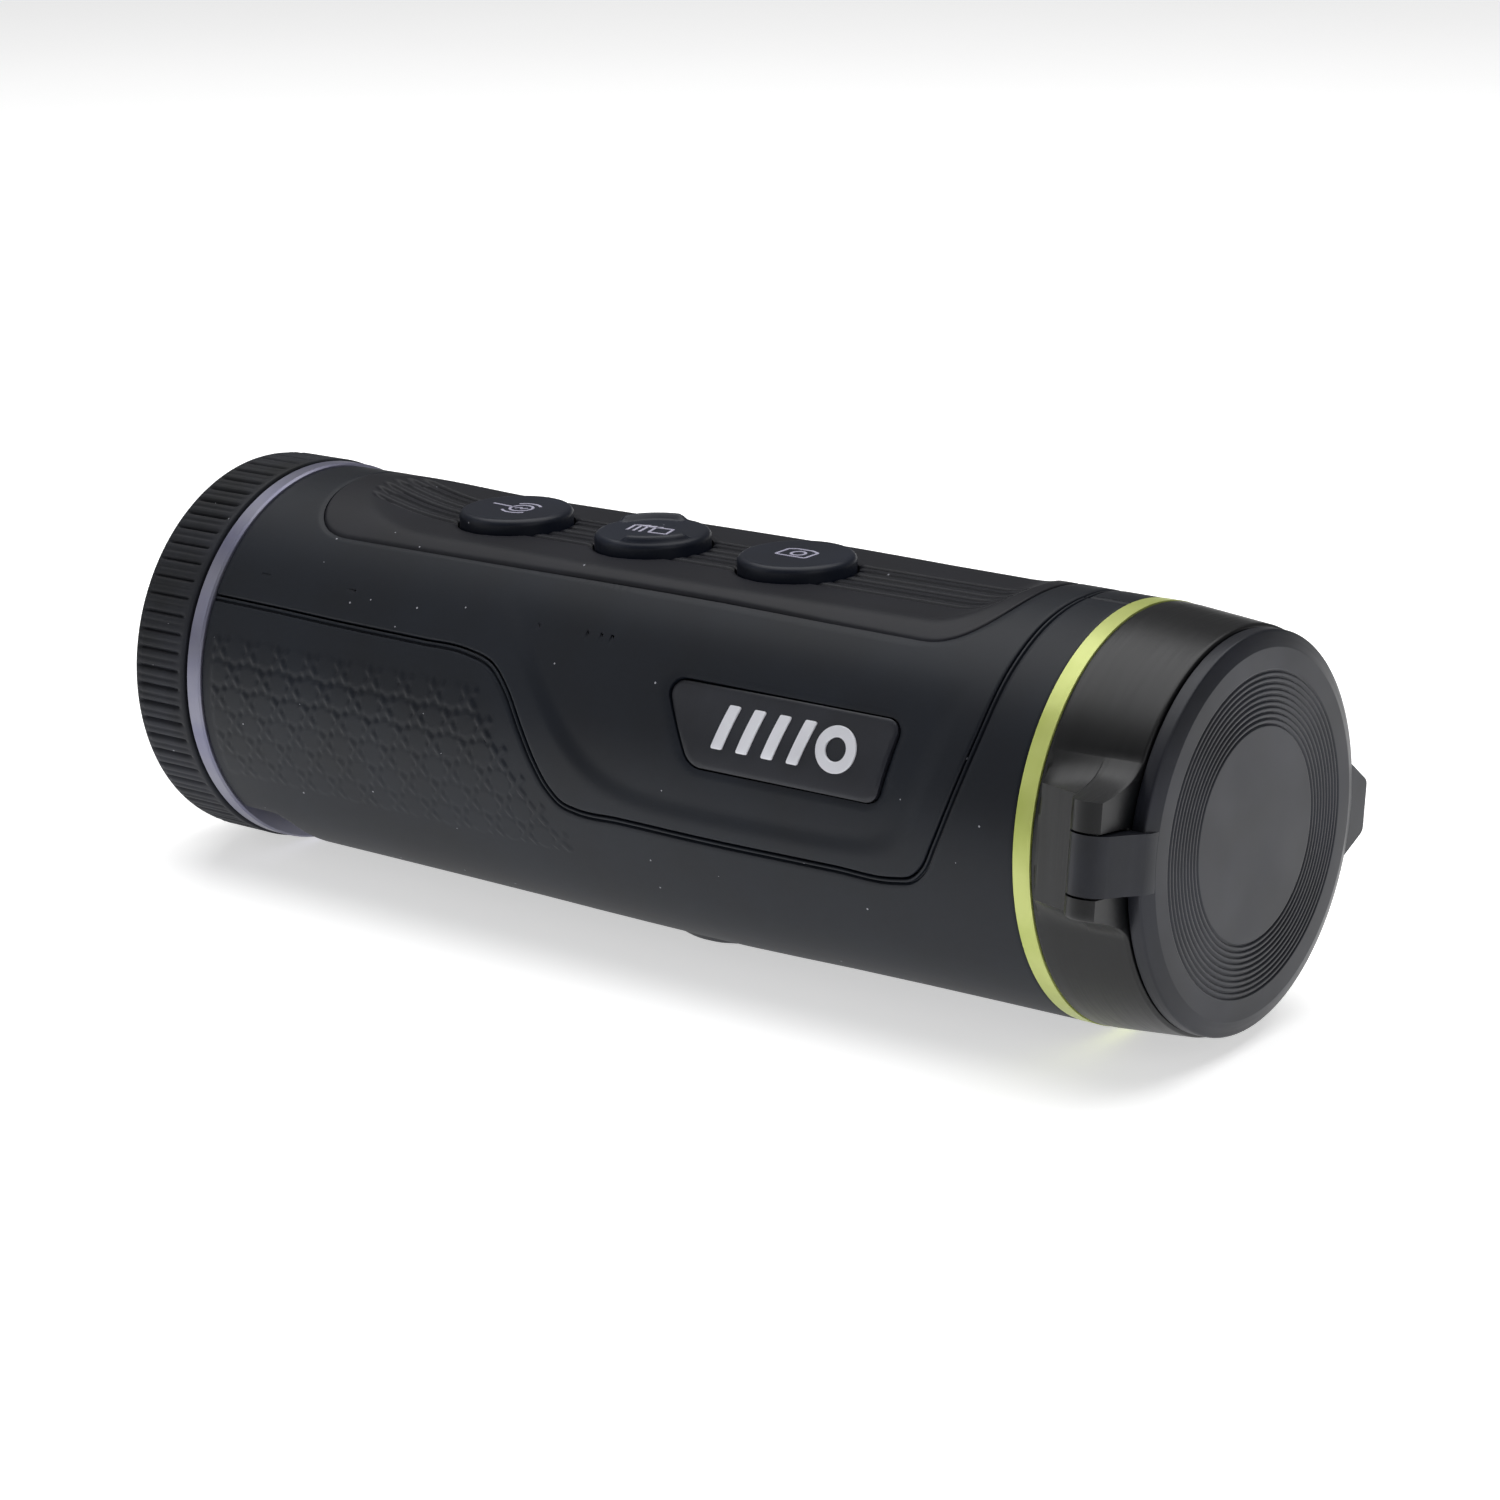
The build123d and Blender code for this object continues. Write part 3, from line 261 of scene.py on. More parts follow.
# %% The parting line
def spline(points, weight=None, count=400):
    """Curve through the points: a cubic between each two, whose slopes come from the neighbours.
    `weight(point)` gives the wanted spacing, and the samples are spread to match it."""
    p = np.asarray(points, float)
    t = np.concatenate([[0], np.cumsum(np.linalg.norm(np.diff(p, axis=0), axis=1))])
    slope = np.gradient(p, t, axis=0)
    fine = np.linspace(0, t[-1], 6000)
    k = np.clip(np.searchsorted(t, fine, side="right") - 1, 0, len(t) - 2)
    h = (t[k + 1] - t[k])[:, None]
    s = (fine - t[k])[:, None] / h
    curve = ((2 * s**3 - 3 * s**2 + 1) * p[k] + (s**3 - 2 * s**2 + s) * h * slope[k]
             + (3 * s**2 - 2 * s**3) * p[k + 1] + (s**3 - s**2) * h * slope[k + 1])
    step = np.linalg.norm(np.diff(curve, axis=0), axis=1)
    spread = step / (weight(curve[1:]) if weight is not None else 1)
    total = np.concatenate([[0], np.cumsum(spread)])
    at = np.linspace(0, total[-1], count)
    return np.stack([np.interp(at, total, curve[:, c]) for c in (0, 1)], -1)


SEAM = [(-150.5, 15.6), (-137.0, 15.4), (-124.0, 15.1), (-108.0, 14.9), (-99.0, 14.7), (-93.6, 13.4),
        (-89.9, 10.3), (-86.1, 4.9), (-83.5, 0.6), (-81.2, -2.7), (-79.0, -4.6), (-76.5, -5.2),
        (-68.8, -5.2), (-48.6, -5.5), (-32.0, -5.5), (-22.0, -5.4), (-19.2, -4.7), (-17.3, -2.9),
        (-15.6, 0.6), (-13.0, 8.0), (-11.3, 15.5), (-10.6, 27.0), (-10.3, 37.7), (-9.9, TOP)]
CORNER = 17                       # the seam turns up into the front collar at this point
X_FIELD_FRONT = -76.0             # the gripping marks end here


def seam_spacing(p):
    """Fine where the marks are, coarser in front of them, and fine again at the slit on top."""
    near = np.where(p[:, 0] < X_FIELD_FRONT, 0.37, 0.8)
    ends = np.minimum(np.abs(p[:, 0] - COVER_REAR), np.abs(p[:, 1] - TOP))
    return np.minimum(near, 0.1 + 0.3 * ends)


def seam_parts(low_count, high_count):
    """The seam in two stretches: along the side to the corner, then up round the collar to the top."""
    whole = spline(SEAM, seam_spacing, 3000)
    corner = int(np.argmin(np.linalg.norm(whole - np.array(SEAM[CORNER]), axis=1)))
    side = whole[np.unique(np.round(np.linspace(0, corner, low_count)).astype(int))]
    collar = whole[np.unique(np.round(np.linspace(corner, len(whole) - 1, high_count)).astype(int))]
    return side, collar


def ribbon(line, offsets, side):
    """Rows of points at these distances from a line, to its lower side (1) or its upper side (-1).
    The offset direction is the line's direction turned by a quarter."""
    along = np.gradient(line, axis=0)
    along /= np.linalg.norm(along, axis=1)[:, None]
    across = np.stack([along[:, 1], -along[:, 0]], -1) * side
    across[0], across[-1] = (0, -side), (side, 0)
    return line[:, None] + across[:, None] * np.asarray(offsets)[None, :, None]


def patch(a, b, start, end):
    """Surface between four lines: a (near) and b (far) run lengthwise, start and end run across.
    Each point is the blend of a and b, plus the blend of start and end, less the blend of the corners."""
    t = np.linspace(0, 1, len(a))[:, None, None]
    length = np.concatenate([[0], np.cumsum(np.linalg.norm(np.diff(a, axis=0), axis=1))])
    t = (length / length[-1])[:, None, None]
    v = np.abs(start[:, 1] - start[0, 1]) / abs(start[-1, 1] - start[0, 1])
    v = v[None, :, None]
    corners = ((1 - t) * ((1 - v) * start[0] + v * start[-1]) + t * ((1 - v) * end[0] + v * end[-1]))
    return (1 - v) * a[:, None] + v * b[:, None] + (1 - t) * start + t * end - corners


def mirrored(flat, about):
    """The other side of the body: the arc is reflected about the top or the bottom line."""
    return np.stack([flat[..., 0], 2 * about - flat[..., 1]], -1)


# %% [markdown]
# ## Cutting openings
# The covers have a pocket for the badge, the key panel's opening, a strap notch and two holes below.
# A grid can be cut along any outline: points close to it are slid onto it, and cells inside it go.
# That leaves a clean edge without a boolean, and the walls are then built down from that edge.

# %% Cut and give thickness
def slope_of(inside, p, h=0.01):
    """Slope of inside() by central differences."""
    dx, ds = np.array([h, 0]), np.array([0, h])
    return np.stack([inside(p + dx) - inside(p - dx), inside(p + ds) - inside(p - ds)], -1) / (2 * h)


def cut(flat, faces, inside):
    """Removes the region where inside(point) < 0 from a flat mesh.
    A point nearer to the outline than half of its longest edge across it slides onto the outline."""
    flat = flat.copy()
    value = inside(flat)
    quad = np.where(faces < 0, faces[:, :1], faces)
    edges = np.concatenate([quad[:, [k, (k + 1) % 4]] for k in range(4)])
    g = slope_of(inside, flat)
    reach = np.zeros(len(flat))
    for a, b in ((0, 1), (1, 0)):
        step = flat[edges[:, b]] - flat[edges[:, a]]
        np.maximum.at(reach, edges[:, a], np.abs((g[edges[:, a]] * step).sum(1)))
    on = np.abs(value) < 0.51 * reach
    for _ in range(4):
        g = slope_of(inside, flat[on])
        flat[on] -= inside(flat[on])[:, None] * g / (g ** 2).sum(1)[:, None]
    out, kept = (value < 0) & ~on, faces >= 0
    gone = out[quad] & kept
    middle = inside(flat[quad].mean(1)) < 0
    all_on = (on[quad] | ~kept).all(1)
    keep = (gone.sum(1) == 0) & ~(all_on & middle)
    trim = (gone.sum(1) == 1) & (kept.sum(1) == 4) & ~(on[quad].sum(1) == 3)
    part = faces[trim].copy()
    part[gone[trim]] = -1
    # rolling the lost corner to the end keeps the other three in their order
    lost = gone[trim].argmax(1)
    turn = (np.arange(4)[None] + lost[:, None] + 1) % 4
    part = np.take_along_axis(part, turn, 1)
    return flat, np.concatenate([faces[keep], part])


def border(faces):
    """Edges that only one face uses, in that face's direction."""
    quad = faces.copy()
    ahead = np.roll(quad, -1, 1)
    last = (quad >= 0).sum(1) - 1
    ahead[np.arange(len(quad)), last] = quad[:, 0]
    used = (quad >= 0)
    e = np.stack([quad[used], ahead[used]], -1)
    key = np.sort(e, 1)
    _, where, count = np.unique(key, axis=0, return_inverse=True, return_counts=True)
    return e[count[where.ravel()] == 1]


def with_walls(outer, inner, faces):
    """A shell: the outer skin, the same faces reversed on the inner skin, and walls between their borders."""
    n = len(outer)
    edge = border(faces)
    walls = np.stack([edge[:, 1], edge[:, 0], edge[:, 0] + n, edge[:, 1] + n], -1)
    back = faces[:, ::-1]
    order = np.argsort(back < 0, axis=1, kind="stable")
    back = np.take_along_axis(back, order, 1)
    back = np.where(back < 0, -1, back + n)
    return np.concatenate([outer, inner]), np.concatenate([faces, back, walls])


# %% [markdown]
# ## Shape of the covers
# The covers swell a little towards the middle. The lower one carries a field of raised crosses
# with low cushions between them, so that a gloved hand doesn't slip.
# A shallow dish is pressed into each side of the upper cover, round the badge.

# %% Relief of the covers
def body_radius(x):
    """Outer radius of the covers: a soft line through the radii measured along the body."""
    return np.interp(x, [-150.5, -130, -112, -97, -87, -77, -68, -59, -50, -41, -28, -16, -2.6],
                     [29.42, 29.5, 29.6, 29.72, 29.85, 29.93, 29.96, 29.93, 29.75, 29.52, 29.32, 29.2, 29.1])


def seam_distance(flat, line):
    """Shortest distance from each point to a line of short stretches, worked out in slices of points."""
    a, b = line[:-1], line[1:]
    d = b - a
    out = np.full(len(flat), 50.0)
    for rows in np.array_split(np.arange(len(flat)), max(1, len(flat) // 4000)):
        p = flat[rows][:, None]
        t = np.clip(((p - a) * d).sum(-1) / (d ** 2).sum(-1), 0, 1)
        out[rows] = np.linalg.norm(p - (a + t[..., None] * d), axis=-1).min(1)
    return out


MARK_PITCH, MARK_ROWS = 6.27, [7.8, 3.95, 0.2, -3.5, -7.3, -11.2]
MARK_LAST = -96.6                 # frontmost mark of the first row
MARK_HIGH = [0.26, 0.26, 0.22, 0.18, 0.15, 0.12]


def marks(flat, seam_gap):
    """Height of the crosses and cushions.
    A cross is two bars at 48 degrees, each with soft sides and blunt ends, and a cushion is a low disc."""
    x, s = flat[:, 0], flat[:, 1]
    high = np.zeros(len(flat))
    clear = smooth((seam_gap - 2.6) / 0.5) * smooth((x + 148.6) / 0.6)
    for row, (level, top) in enumerate(zip(MARK_ROWS, MARK_HIGH)):
        last = MARK_LAST + row * MARK_PITCH / 2
        k = np.round((x - last) / MARK_PITCH)
        dx, ds = x - last - np.minimum(k, 0) * MARK_PITCH, s - level
        for turn in (48, -48):
            c, w = np.cos(np.radians(turn)), np.sin(np.radians(turn))
            along, across = np.abs(dx * c + ds * w), np.abs(ds * c - dx * w)
            bar = smooth((2.25 - along) / 0.35) * smooth((0.68 - across) / 0.42)
            high = np.maximum(high, top * bar)
        half = last + MARK_PITCH / 2
        k = np.round((x - half) / MARK_PITCH)
        dx = x - half - np.minimum(k, -1) * MARK_PITCH
        disc = smooth((2.2 - np.hypot(dx, ds)) / 0.45)
        high = np.maximum(high, 0.62 * top * disc)
    return high * clear


def dish(flat):
    """Depth of the dish: a soft step across three sides, whose corners are blended, fading out upwards."""
    x, s = flat[:, 0], flat[:, 1]
    left = (x + 72.6 + 0.83 * (s + 1.2)) * 0.77
    right = (-21.0 - x + 0.2 * (s + 1.2)) * 0.98
    below = s + 1.2
    k = 3.5
    near = -k * np.log(np.exp(-left / k) + np.exp(-right / k) + np.exp(-below / k))
    return 0.62 * smooth((near + 2.6) / 3.0) * (1 - smooth((s - 9) / 16))


LOWER_EDGE = np.array([(0, .36), (.07, .17), (.16, .1), (.28, .09), (.38, .12), (.46, .26), (.54, .48), (.64, .5),
                       (.74, .34), (.86, .1), (1.05, .02), (1.4, 0)])
UPPER_EDGE = np.array([(0, .32), (.07, .17), (.16, .08), (.3, .02), (.5, 0), (.9, 0), (1.3, 0)])


def ends_drop(x):
    """Both ends of the covers are rounded: a quarter circle of 0.5 mm."""
    near = np.minimum(x - COVER_REAR, COVER_FRONT - x)
    t = np.clip(1 - near / 0.5, 0, 1)
    return 0.5 * (1 - np.sqrt(1 - t ** 2))


# %% [markdown]
# ## Openings in the covers
# Each opening is a function that is negative inside it.

# %% Openings
PANEL_REAR, PANEL_FRONT, PANEL_HALF = -141.7, -16.0, 16.35


def panel_outline(x, y, grow=0.0):
    """Straight sides with ends that are nearly elliptical: the sum of both shares to the power 2.6 is 1."""
    ahead = np.maximum(x + 26.5, 0) / (PANEL_FRONT + 26.5 + grow)
    behind = np.maximum(-130.0 - x, 0) / (-130.0 - PANEL_REAR + grow)
    across = np.abs(y) / (PANEL_HALF + grow)
    return ((ahead + behind) ** 2.6 + across ** 2.6 + 1e-9) ** (1 / 2.6) - 1


def panel_hole(p):
    """Distance outside the key panel, measured across the body from above; 30 below the panel."""
    y = ARC_R * np.cos(p[:, 1] / ARC_R)
    return np.where(p[:, 1] > 20, panel_outline(p[:, 0], y, 0.17) * PANEL_HALF, 30.0)


BADGE = [(-63.2, 16.75), (-56.6, 4.3), (-24.7, 4.3), (-22.6, 16.75)]
BADGE_ROUND = [2.2, 3.6, 2.2, 2.2]


def polygon_gap(p, corners, radius):
    """Distance outside a convex outline whose corners are rounded: the largest distance from its sides,
    or the distance from the corner's centre less its radius."""
    c = np.asarray(corners, float)
    d = np.roll(c, -1, 0) - c
    n = np.stack([d[:, 1], -d[:, 0]], -1) / np.linalg.norm(d, axis=1)[:, None]
    side = ((p[:, None] - c) * n).sum(-1)
    gap = side.max(1)
    for k in range(len(c)):
        a, b, r = side[:, k - 1], side[:, k], radius[k]
        cosine = float(np.clip((n[k - 1] * n[k]).sum(), -0.99, 0.99))
        u, v = a + r, b + r
        q = (u - cosine * v), (v - cosine * u)
        here = (q[0] > 0) & (q[1] > 0)
        far = np.sqrt(np.maximum((u * u + v * v - 2 * cosine * u * v), 0) / (1 - cosine ** 2))
        gap = np.where(here, np.maximum(gap - 99, far - r), gap)
    return gap


def badge_hole(p):
    """Distance outside the badge pocket."""
    return polygon_gap(p, BADGE, BADGE_ROUND)


def box_gap(p, centre, half, radius):
    """Distance outside a box with rounded corners."""
    q = np.abs(p - np.array(centre)) - np.array(half) + radius
    return np.linalg.norm(np.maximum(q, 0), axis=1) + np.minimum(q.max(1), 0) - radius


def strap_notch(p):
    """Distance outside the strap notch under the rear end."""
    return box_gap(p, (-152.7, BOTTOM), (10.2, 23.8), 3.2)


def port_hole(p):
    """Distance outside the port opening, which is round at the front and square at its hinge."""
    round_end = box_gap(p, (-124.0, BOTTOM), (7.65, 4.15), 2.15)
    square_end = box_gap(p, (-127.8, BOTTOM), (3.85, 4.15), 0.05)
    return np.minimum(round_end, square_end)


def tripod_hole(p):
    """Distance outside the round opening of the tripod socket."""
    return np.hypot(p[:, 0] + 70.0, p[:, 1] - BOTTOM) - 4.75


# %% [markdown]
# ## The upper cover
# Moulded in a soft rubbery skin. Its grid follows the seam, so the seam stays a clean line.

# %% Upper cover
side, collar = seam_parts(300, 90)
seam_line = np.concatenate([side, collar[1:]])
GAP = 0.13                        # half of the open line between the two covers


def lofted(offsets, side_sign):
    """Edge ribbons and the patch between them for one cover, as flat grids of (x, arc)."""
    near = ribbon(seam_line, GAP + np.asarray(offsets), side_sign)
    about = BOTTOM if side_sign > 0 else TOP
    near[0, :, 0] = COVER_REAR
    near[-1, :, 1] = TOP
    far = mirrored(near, about)
    return near, far


def flat_surface(grid, flip=False):
    """Points and faces of a flat grid of (x, arc)."""
    p, f = grid.reshape(-1, 2), cells(*grid.shape[:2])
    return p, (f[:, ::-1] if flip else f)


def flat_join(*parts):
    """One flat mesh from several, with the points that coincide welded."""
    start = np.cumsum([0] + [len(p) for p, _ in parts])
    p = np.concatenate([p for p, _ in parts])
    return weld(p, np.concatenate([f + s for (_, f), s in zip(parts, start)]))


near, far = lofted(UPPER_EDGE[:, 0], -1)
turn_at = len(side) - 1
inner_near, inner_far = near[:, -1], far[:, -1]
front_line = np.concatenate([inner_near[turn_at:], inner_far[turn_at:][::-1][1:]])
share = (front_line[:, 1] - front_line[0, 1]) / (front_line[-1, 1] - front_line[0, 1])
rear_line = np.stack([np.full(len(share), COVER_REAR),
                      inner_near[0, 1] + share * (inner_far[0, 1] - inner_near[0, 1])], -1)
middle = patch(inner_near[:turn_at + 1], inner_far[:turn_at + 1], rear_line, front_line)
flat, faces = flat_join(flat_surface(near, True), flat_surface(far), flat_surface(middle))
flat, faces = cut(flat, faces, panel_hole)
flat, faces = cut(flat, faces, badge_hole)
edge_gap = np.minimum(seam_distance(flat, seam_line), seam_distance(flat, mirrored(seam_line, TOP))) - GAP
drop = np.interp(edge_gap, UPPER_EDGE[:, 0], UPPER_EDGE[:, 1]) + ends_drop(flat[:, 0])
mirror_flat = np.stack([flat[:, 0], np.minimum(flat[:, 1], 2 * TOP - flat[:, 1])], -1)
hole_gap = np.minimum(panel_hole(flat), badge_hole(flat))
drop += dish(mirror_flat) + 0.22 * smooth(1 - hole_gap / 0.45)
outer = on_tube(flat[:, 0], flat[:, 1], body_radius(flat[:, 0]) - drop)
inner = on_tube(flat[:, 0], flat[:, 1], SHELL_INSIDE)
upper_cover = build("upper_cover_soft_touch", *with_walls(outer, inner, faces))
finish_piece(upper_cover, "housing", "soft_touch", "upper_cover")

# %% [markdown]
# ## The lower cover
# It holds the gripping marks, the strap notch, the charging port and the tripod socket.
# Along the seam it has a fine bead with a groove behind it, which reads as a double line.

# %% Lower cover
side, collar = seam_parts(330, 80)
seam_line = np.concatenate([side, collar[1:]])
turn_at = len(side) - 1
near, far = lofted(LOWER_EDGE[:, 0], 1)
inner_near, inner_far = near[:, -1], far[:, -1]
top_arc, low_arc = inner_near[0, 1], inner_far[0, 1]
fine = np.arange(top_arc, -14.0, -0.4)
coarse = np.linspace(-14.0, BOTTOM, 26)[1:]
half = np.concatenate([fine, coarse])
across = np.concatenate([half, (2 * BOTTOM - half[:-1])[::-1]])
share = (across - top_arc) / (low_arc - top_arc)
rear_line = np.stack([np.full(len(share), COVER_REAR), across], -1)
corner_near, corner_far = inner_near[turn_at], inner_far[turn_at]
front_line = np.stack([np.full(len(share), corner_near[0]),
                       corner_near[1] + share * (corner_far[1] - corner_near[1])], -1)
middle = patch(inner_near[:turn_at + 1], inner_far[:turn_at + 1], rear_line, front_line)
round_line = np.concatenate([inner_near[turn_at:][::-1], front_line[1:-1], inner_far[turn_at:]])
forward = np.concatenate([np.linspace(0, 1, 20)[:-2], 1 - np.array([1.0, .55, .32, .18, .08, .03, 0]) / 14])
collar_grid = np.stack([round_line[:, None, 0] * (1 - forward) + COVER_FRONT * forward,
                        np.repeat(round_line[:, None, 1], len(forward), 1)], -1)
flat, faces = flat_join(flat_surface(near), flat_surface(far, True), flat_surface(middle, True),
                        flat_surface(collar_grid))
for opening in (strap_notch, port_hole, tripod_hole):
    flat, faces = cut(flat, faces, opening)
folded = np.stack([flat[:, 0], np.maximum(flat[:, 1], 2 * BOTTOM - flat[:, 1])], -1)
seam_gap = seam_distance(folded, seam_line) - GAP
drop = np.interp(seam_gap, LOWER_EDGE[:, 0], LOWER_EDGE[:, 1]) + ends_drop(flat[:, 0])
hole_gap = np.minimum(np.minimum(strap_notch(flat), port_hole(flat)), tripod_hole(flat))
drop += 0.3 * smooth(1 - hole_gap / 0.6) - marks(folded, seam_gap)
slit = np.abs(flat[:, 1] - (TOP - 0.8))
drop += 0.35 * smooth(1 - slit / 0.22) * (flat[:, 0] > -10.5)
radius = body_radius(flat[:, 0]) - drop
from_socket = np.hypot(flat[:, 0] + 70.0, flat[:, 1] - BOTTOM)
pad = 29.9 / np.cos((flat[:, 1] - BOTTOM) / ARC_R)
level = smooth((10.4 - from_socket) / 3.2)
radius = np.where(from_socket < 11, radius + (pad - radius) * level, radius)
outer = on_tube(flat[:, 0], flat[:, 1], radius)
inner = on_tube(flat[:, 0], flat[:, 1], SHELL_INSIDE)
points, shell_faces = with_walls(outer, inner, faces)
lower_cover = build("lower_cover_soft_touch", points, shell_faces)


def thin_inside(piece, share):
    """The skin that nobody sees keeps fewer faces: Decimate works only where the vertex weight is 1."""
    co = np.zeros(len(piece.data.vertices) * 3, np.float32)
    piece.data.vertices.foreach_get("co", co)
    co = co.reshape(-1, 3) / MM - AXIS_IN_ROW
    hidden = np.abs(np.hypot(co[:, 1], co[:, 2]) - SHELL_INSIDE) < 0.01
    group = piece.vertex_groups.new(name="inside")
    group.add(np.flatnonzero(hidden).tolist(), 1.0, "REPLACE")
    thin = piece.modifiers.new("thin_inside", "DECIMATE")
    thin.ratio, thin.vertex_group = share, group.name
    print(piece.name, "hidden points:", int(hidden.sum()))


thin_inside(lower_cover, 0.6)
finish_piece(lower_cover, "housing", "soft_touch", "lower_grip")

# %% [markdown]
# ## The key panel
# A separate rubber moulding let into the top. Its floor is flat round the keys, and climbs
# in a hollow curve at the rear and in a shorter one at the front. Six grooves run along it.

# %% Key panel
KEY_PLACES = (-111.2, -84.9, -58.6)
KEY_R, WELL_R, PANEL_Z = 8.6, 8.95, 26.2


def panel_height(x, y):
    """Lower of the round body and the floor, with a soft corner between: a smooth minimum.
    The floor leaves its level along an arc at each end."""
    body = np.sqrt(np.maximum((body_radius(x) - 0.02) ** 2 - y ** 2, 1))
    rear, front = np.maximum(-117.0 - x, 0), np.maximum(x + 27.5, 0)
    floor = PANEL_Z + 64.0 - np.sqrt(64.0 ** 2 - np.minimum(rear, 40) ** 2)
    floor += 15.5 - np.sqrt(15.5 ** 2 - np.minimum(front, 15) ** 2)
    k = 0.22
    blend = -k * np.log(np.exp(-(body - 20) / k) + np.exp(-(floor - 20) / k)) + 20
    open_floor = smooth((body - floor) / 0.5)
    x_fade = smooth((x + 138.5) / 1.5) * smooth((-19.4 - x) / 0.8)
    groove = np.zeros_like(x)
    for index in range(6):
        gap = np.abs(y - (index - 2.5) * 2.25)
        groove = np.maximum(groove, smooth((0.72 - gap) / 0.5))
    rim = np.maximum(-panel_outline(x, y) * PANEL_HALF, 0)
    edge = 0.42 * (1 - np.sqrt(1 - np.clip(1 - rim / 0.42, 0, 1) ** 2))
    return blend - 0.5 * groove * open_floor * x_fade - edge


def panel_grid():
    """Lines across the panel reach from side to side.
    y is the half width times v, with v packed over the grooves."""
    behind = -130 - 11.7 * np.sin(np.linspace(np.pi / 2, 0, 40))
    ahead = -26.5 + 10.5 * np.sin(np.linspace(0, np.pi / 2, 36))
    x = np.concatenate([behind[:-1], np.linspace(-130, -26.5, 190), ahead[1:]])
    share = np.maximum(np.where(x > -26.5, (x + 26.5) / 10.5, 0), np.where(x < -130, (-130 - x) / 11.7, 0))
    half = PANEL_HALF * np.maximum(1 - share ** 2.6, 0) ** (1 / 2.6)
    v = np.concatenate([np.linspace(0, 7.6, 46), np.linspace(7.6, 15.2, 20)[1:], [15.6, 15.9, 16.1, 16.25, 16.35]])
    v = np.concatenate([-v[:0:-1], v]) / PANEL_HALF
    return np.stack(np.broadcast_arrays(x[:, None], v[None] * half[:, None]), -1)


flat, faces = flat_join(flat_surface(panel_grid()))
for place in KEY_PLACES:
    flat, faces = cut(flat, faces, lambda p, place=place: np.hypot(p[:, 0] - place, p[:, 1]) - WELL_R)
well_gap = np.min([np.hypot(flat[:, 0] - place, flat[:, 1]) - WELL_R for place in KEY_PLACES], axis=0)
z = panel_height(flat[:, 0], flat[:, 1]) - 0.25 * smooth(1 - well_gap / 0.5)
outer = np.column_stack([flat, z])
inner = np.column_stack([flat, np.full(len(flat), 23.25)])
key_panel = build("key_panel_rubber", *with_walls(outer, inner, faces))
finish_piece(key_panel, "housing", "keypad_rubber", "key_panel")

# %% [markdown]
# ## The keys
# Each key is a low turned button with a soft shoulder, a flange that can't fall through the panel,
# and a stem over its switch. The middle one has two raised crescents, so that it's found by touch.

# %% Keys
KEY_TOP = 28.3


def crescents(x, y, z):
    """Two ridges along arcs near the rim: a soft bump across the arc, fading at its ends."""
    r, a = np.hypot(x, y), np.arctan2(y, x)
    bump = smooth((0.95 - np.abs(r - 7.2)) / 0.7)
    out = 0 * x
    for centre in (np.radians(128), np.radians(-48)):
        turn = np.abs((a - centre + np.pi) % (2 * np.pi) - np.pi)
        out = np.maximum(out, bump * smooth((np.radians(44) - turn) / np.radians(12)))
    return 0.85 * out * (z > 26.5)


key_shape = [(KEY_R, KEY_TOP), (KEY_R, 24.86), (KEY_R + 0.75, 24.8), (KEY_R + 0.75, 24.1), (2.0, 24.1), (2.0, 22.75)]
top_rows = [(r, KEY_TOP - 0.12 * (1 - r / 7.6) ** 2) for r in np.linspace(0, 7.35, 26)]
shoulder = [(7.6 + 1.0 * np.sin(a), KEY_TOP - 1.0 + 1.0 * np.cos(a)) for a in np.linspace(0.08, np.pi / 2, 9)]
key_line = np.array(top_rows + shoulder + key_shape[1:] + [(0, 22.75)])
key_tops = {}
for body, place in zip(("zoom_key", "palette_key", "capture_key"), KEY_PLACES):
    lift = crescents if body == "palette_key" else None
    key_tops[body] = build(body + "_button", *button(key_line, place, 144, lift), sharp=50)
    finish_piece(key_tops[body], body, "keypad_rubber", body)

# %% [markdown]
# ## The symbols on the keys
# They are pale prints, a few hundredths of a millimetre thick: a lens that zooms, stacked sheets for
# the colour palettes, and a camera. Each is drawn with strokes of one width, like a stencil.

# %% Symbols
PRINT_T = 0.05


def stroke(path, width, closed=False):
    """Flat strip along a path: each point moves sideways by half the width, to both sides."""
    p = np.asarray(path, float)
    if closed:
        p = np.concatenate([p, p[:1]])
    along = np.gradient(p, axis=0)
    if closed:
        along[0] = along[-1] = p[1] - p[-2]
    along /= np.linalg.norm(along, axis=1)[:, None]
    aside = np.stack([-along[:, 1], along[:, 0]], -1) * width / 2
    if not closed:
        p[0] -= along[0] * width / 2
        p[-1] += along[-1] * width / 2
    left, right = p + aside, p - aside
    high = lambda q: np.column_stack([q, np.full(len(q), PRINT_T)])
    low = lambda q: np.column_stack([q, np.full(len(q), -PRINT_T)])
    rows = [high(left), low(left), low(right), high(right), high(left)]
    grid = np.stack(rows)[::-1]
    points, faces = surface(grid)
    if not closed:
        n = grid.shape[1]
        ends = np.array([[0, n, 2 * n, 3 * n], [4 * n - 1, 3 * n - 1, 2 * n - 1, n - 1]])
        faces = np.concatenate([faces, ends])
    return points, faces


def arc_path(x, y, r, a0, a1, n=40):
    """Points on a circle of radius r about (x, y), from angle a0 to a1 in degrees."""
    a = np.radians(np.linspace(a0, a1, n))
    return np.stack([x + r * np.cos(a), y + r * np.sin(a)], -1)


def straight(*corners):
    """Evenly spaced points along straight lines from corner to corner."""
    return spaced(np.array(corners, float), 0.4, closed=False)


def symbol(name, body, place, strokes):
    """Joins the strokes and sets them on the top of the key at this place."""
    points, faces = joined(*strokes)
    points = points + np.array([place, 0, KEY_TOP - 0.02])
    mark = build(name, points, faces, sharp=30)
    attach(mark, body)
    return mark


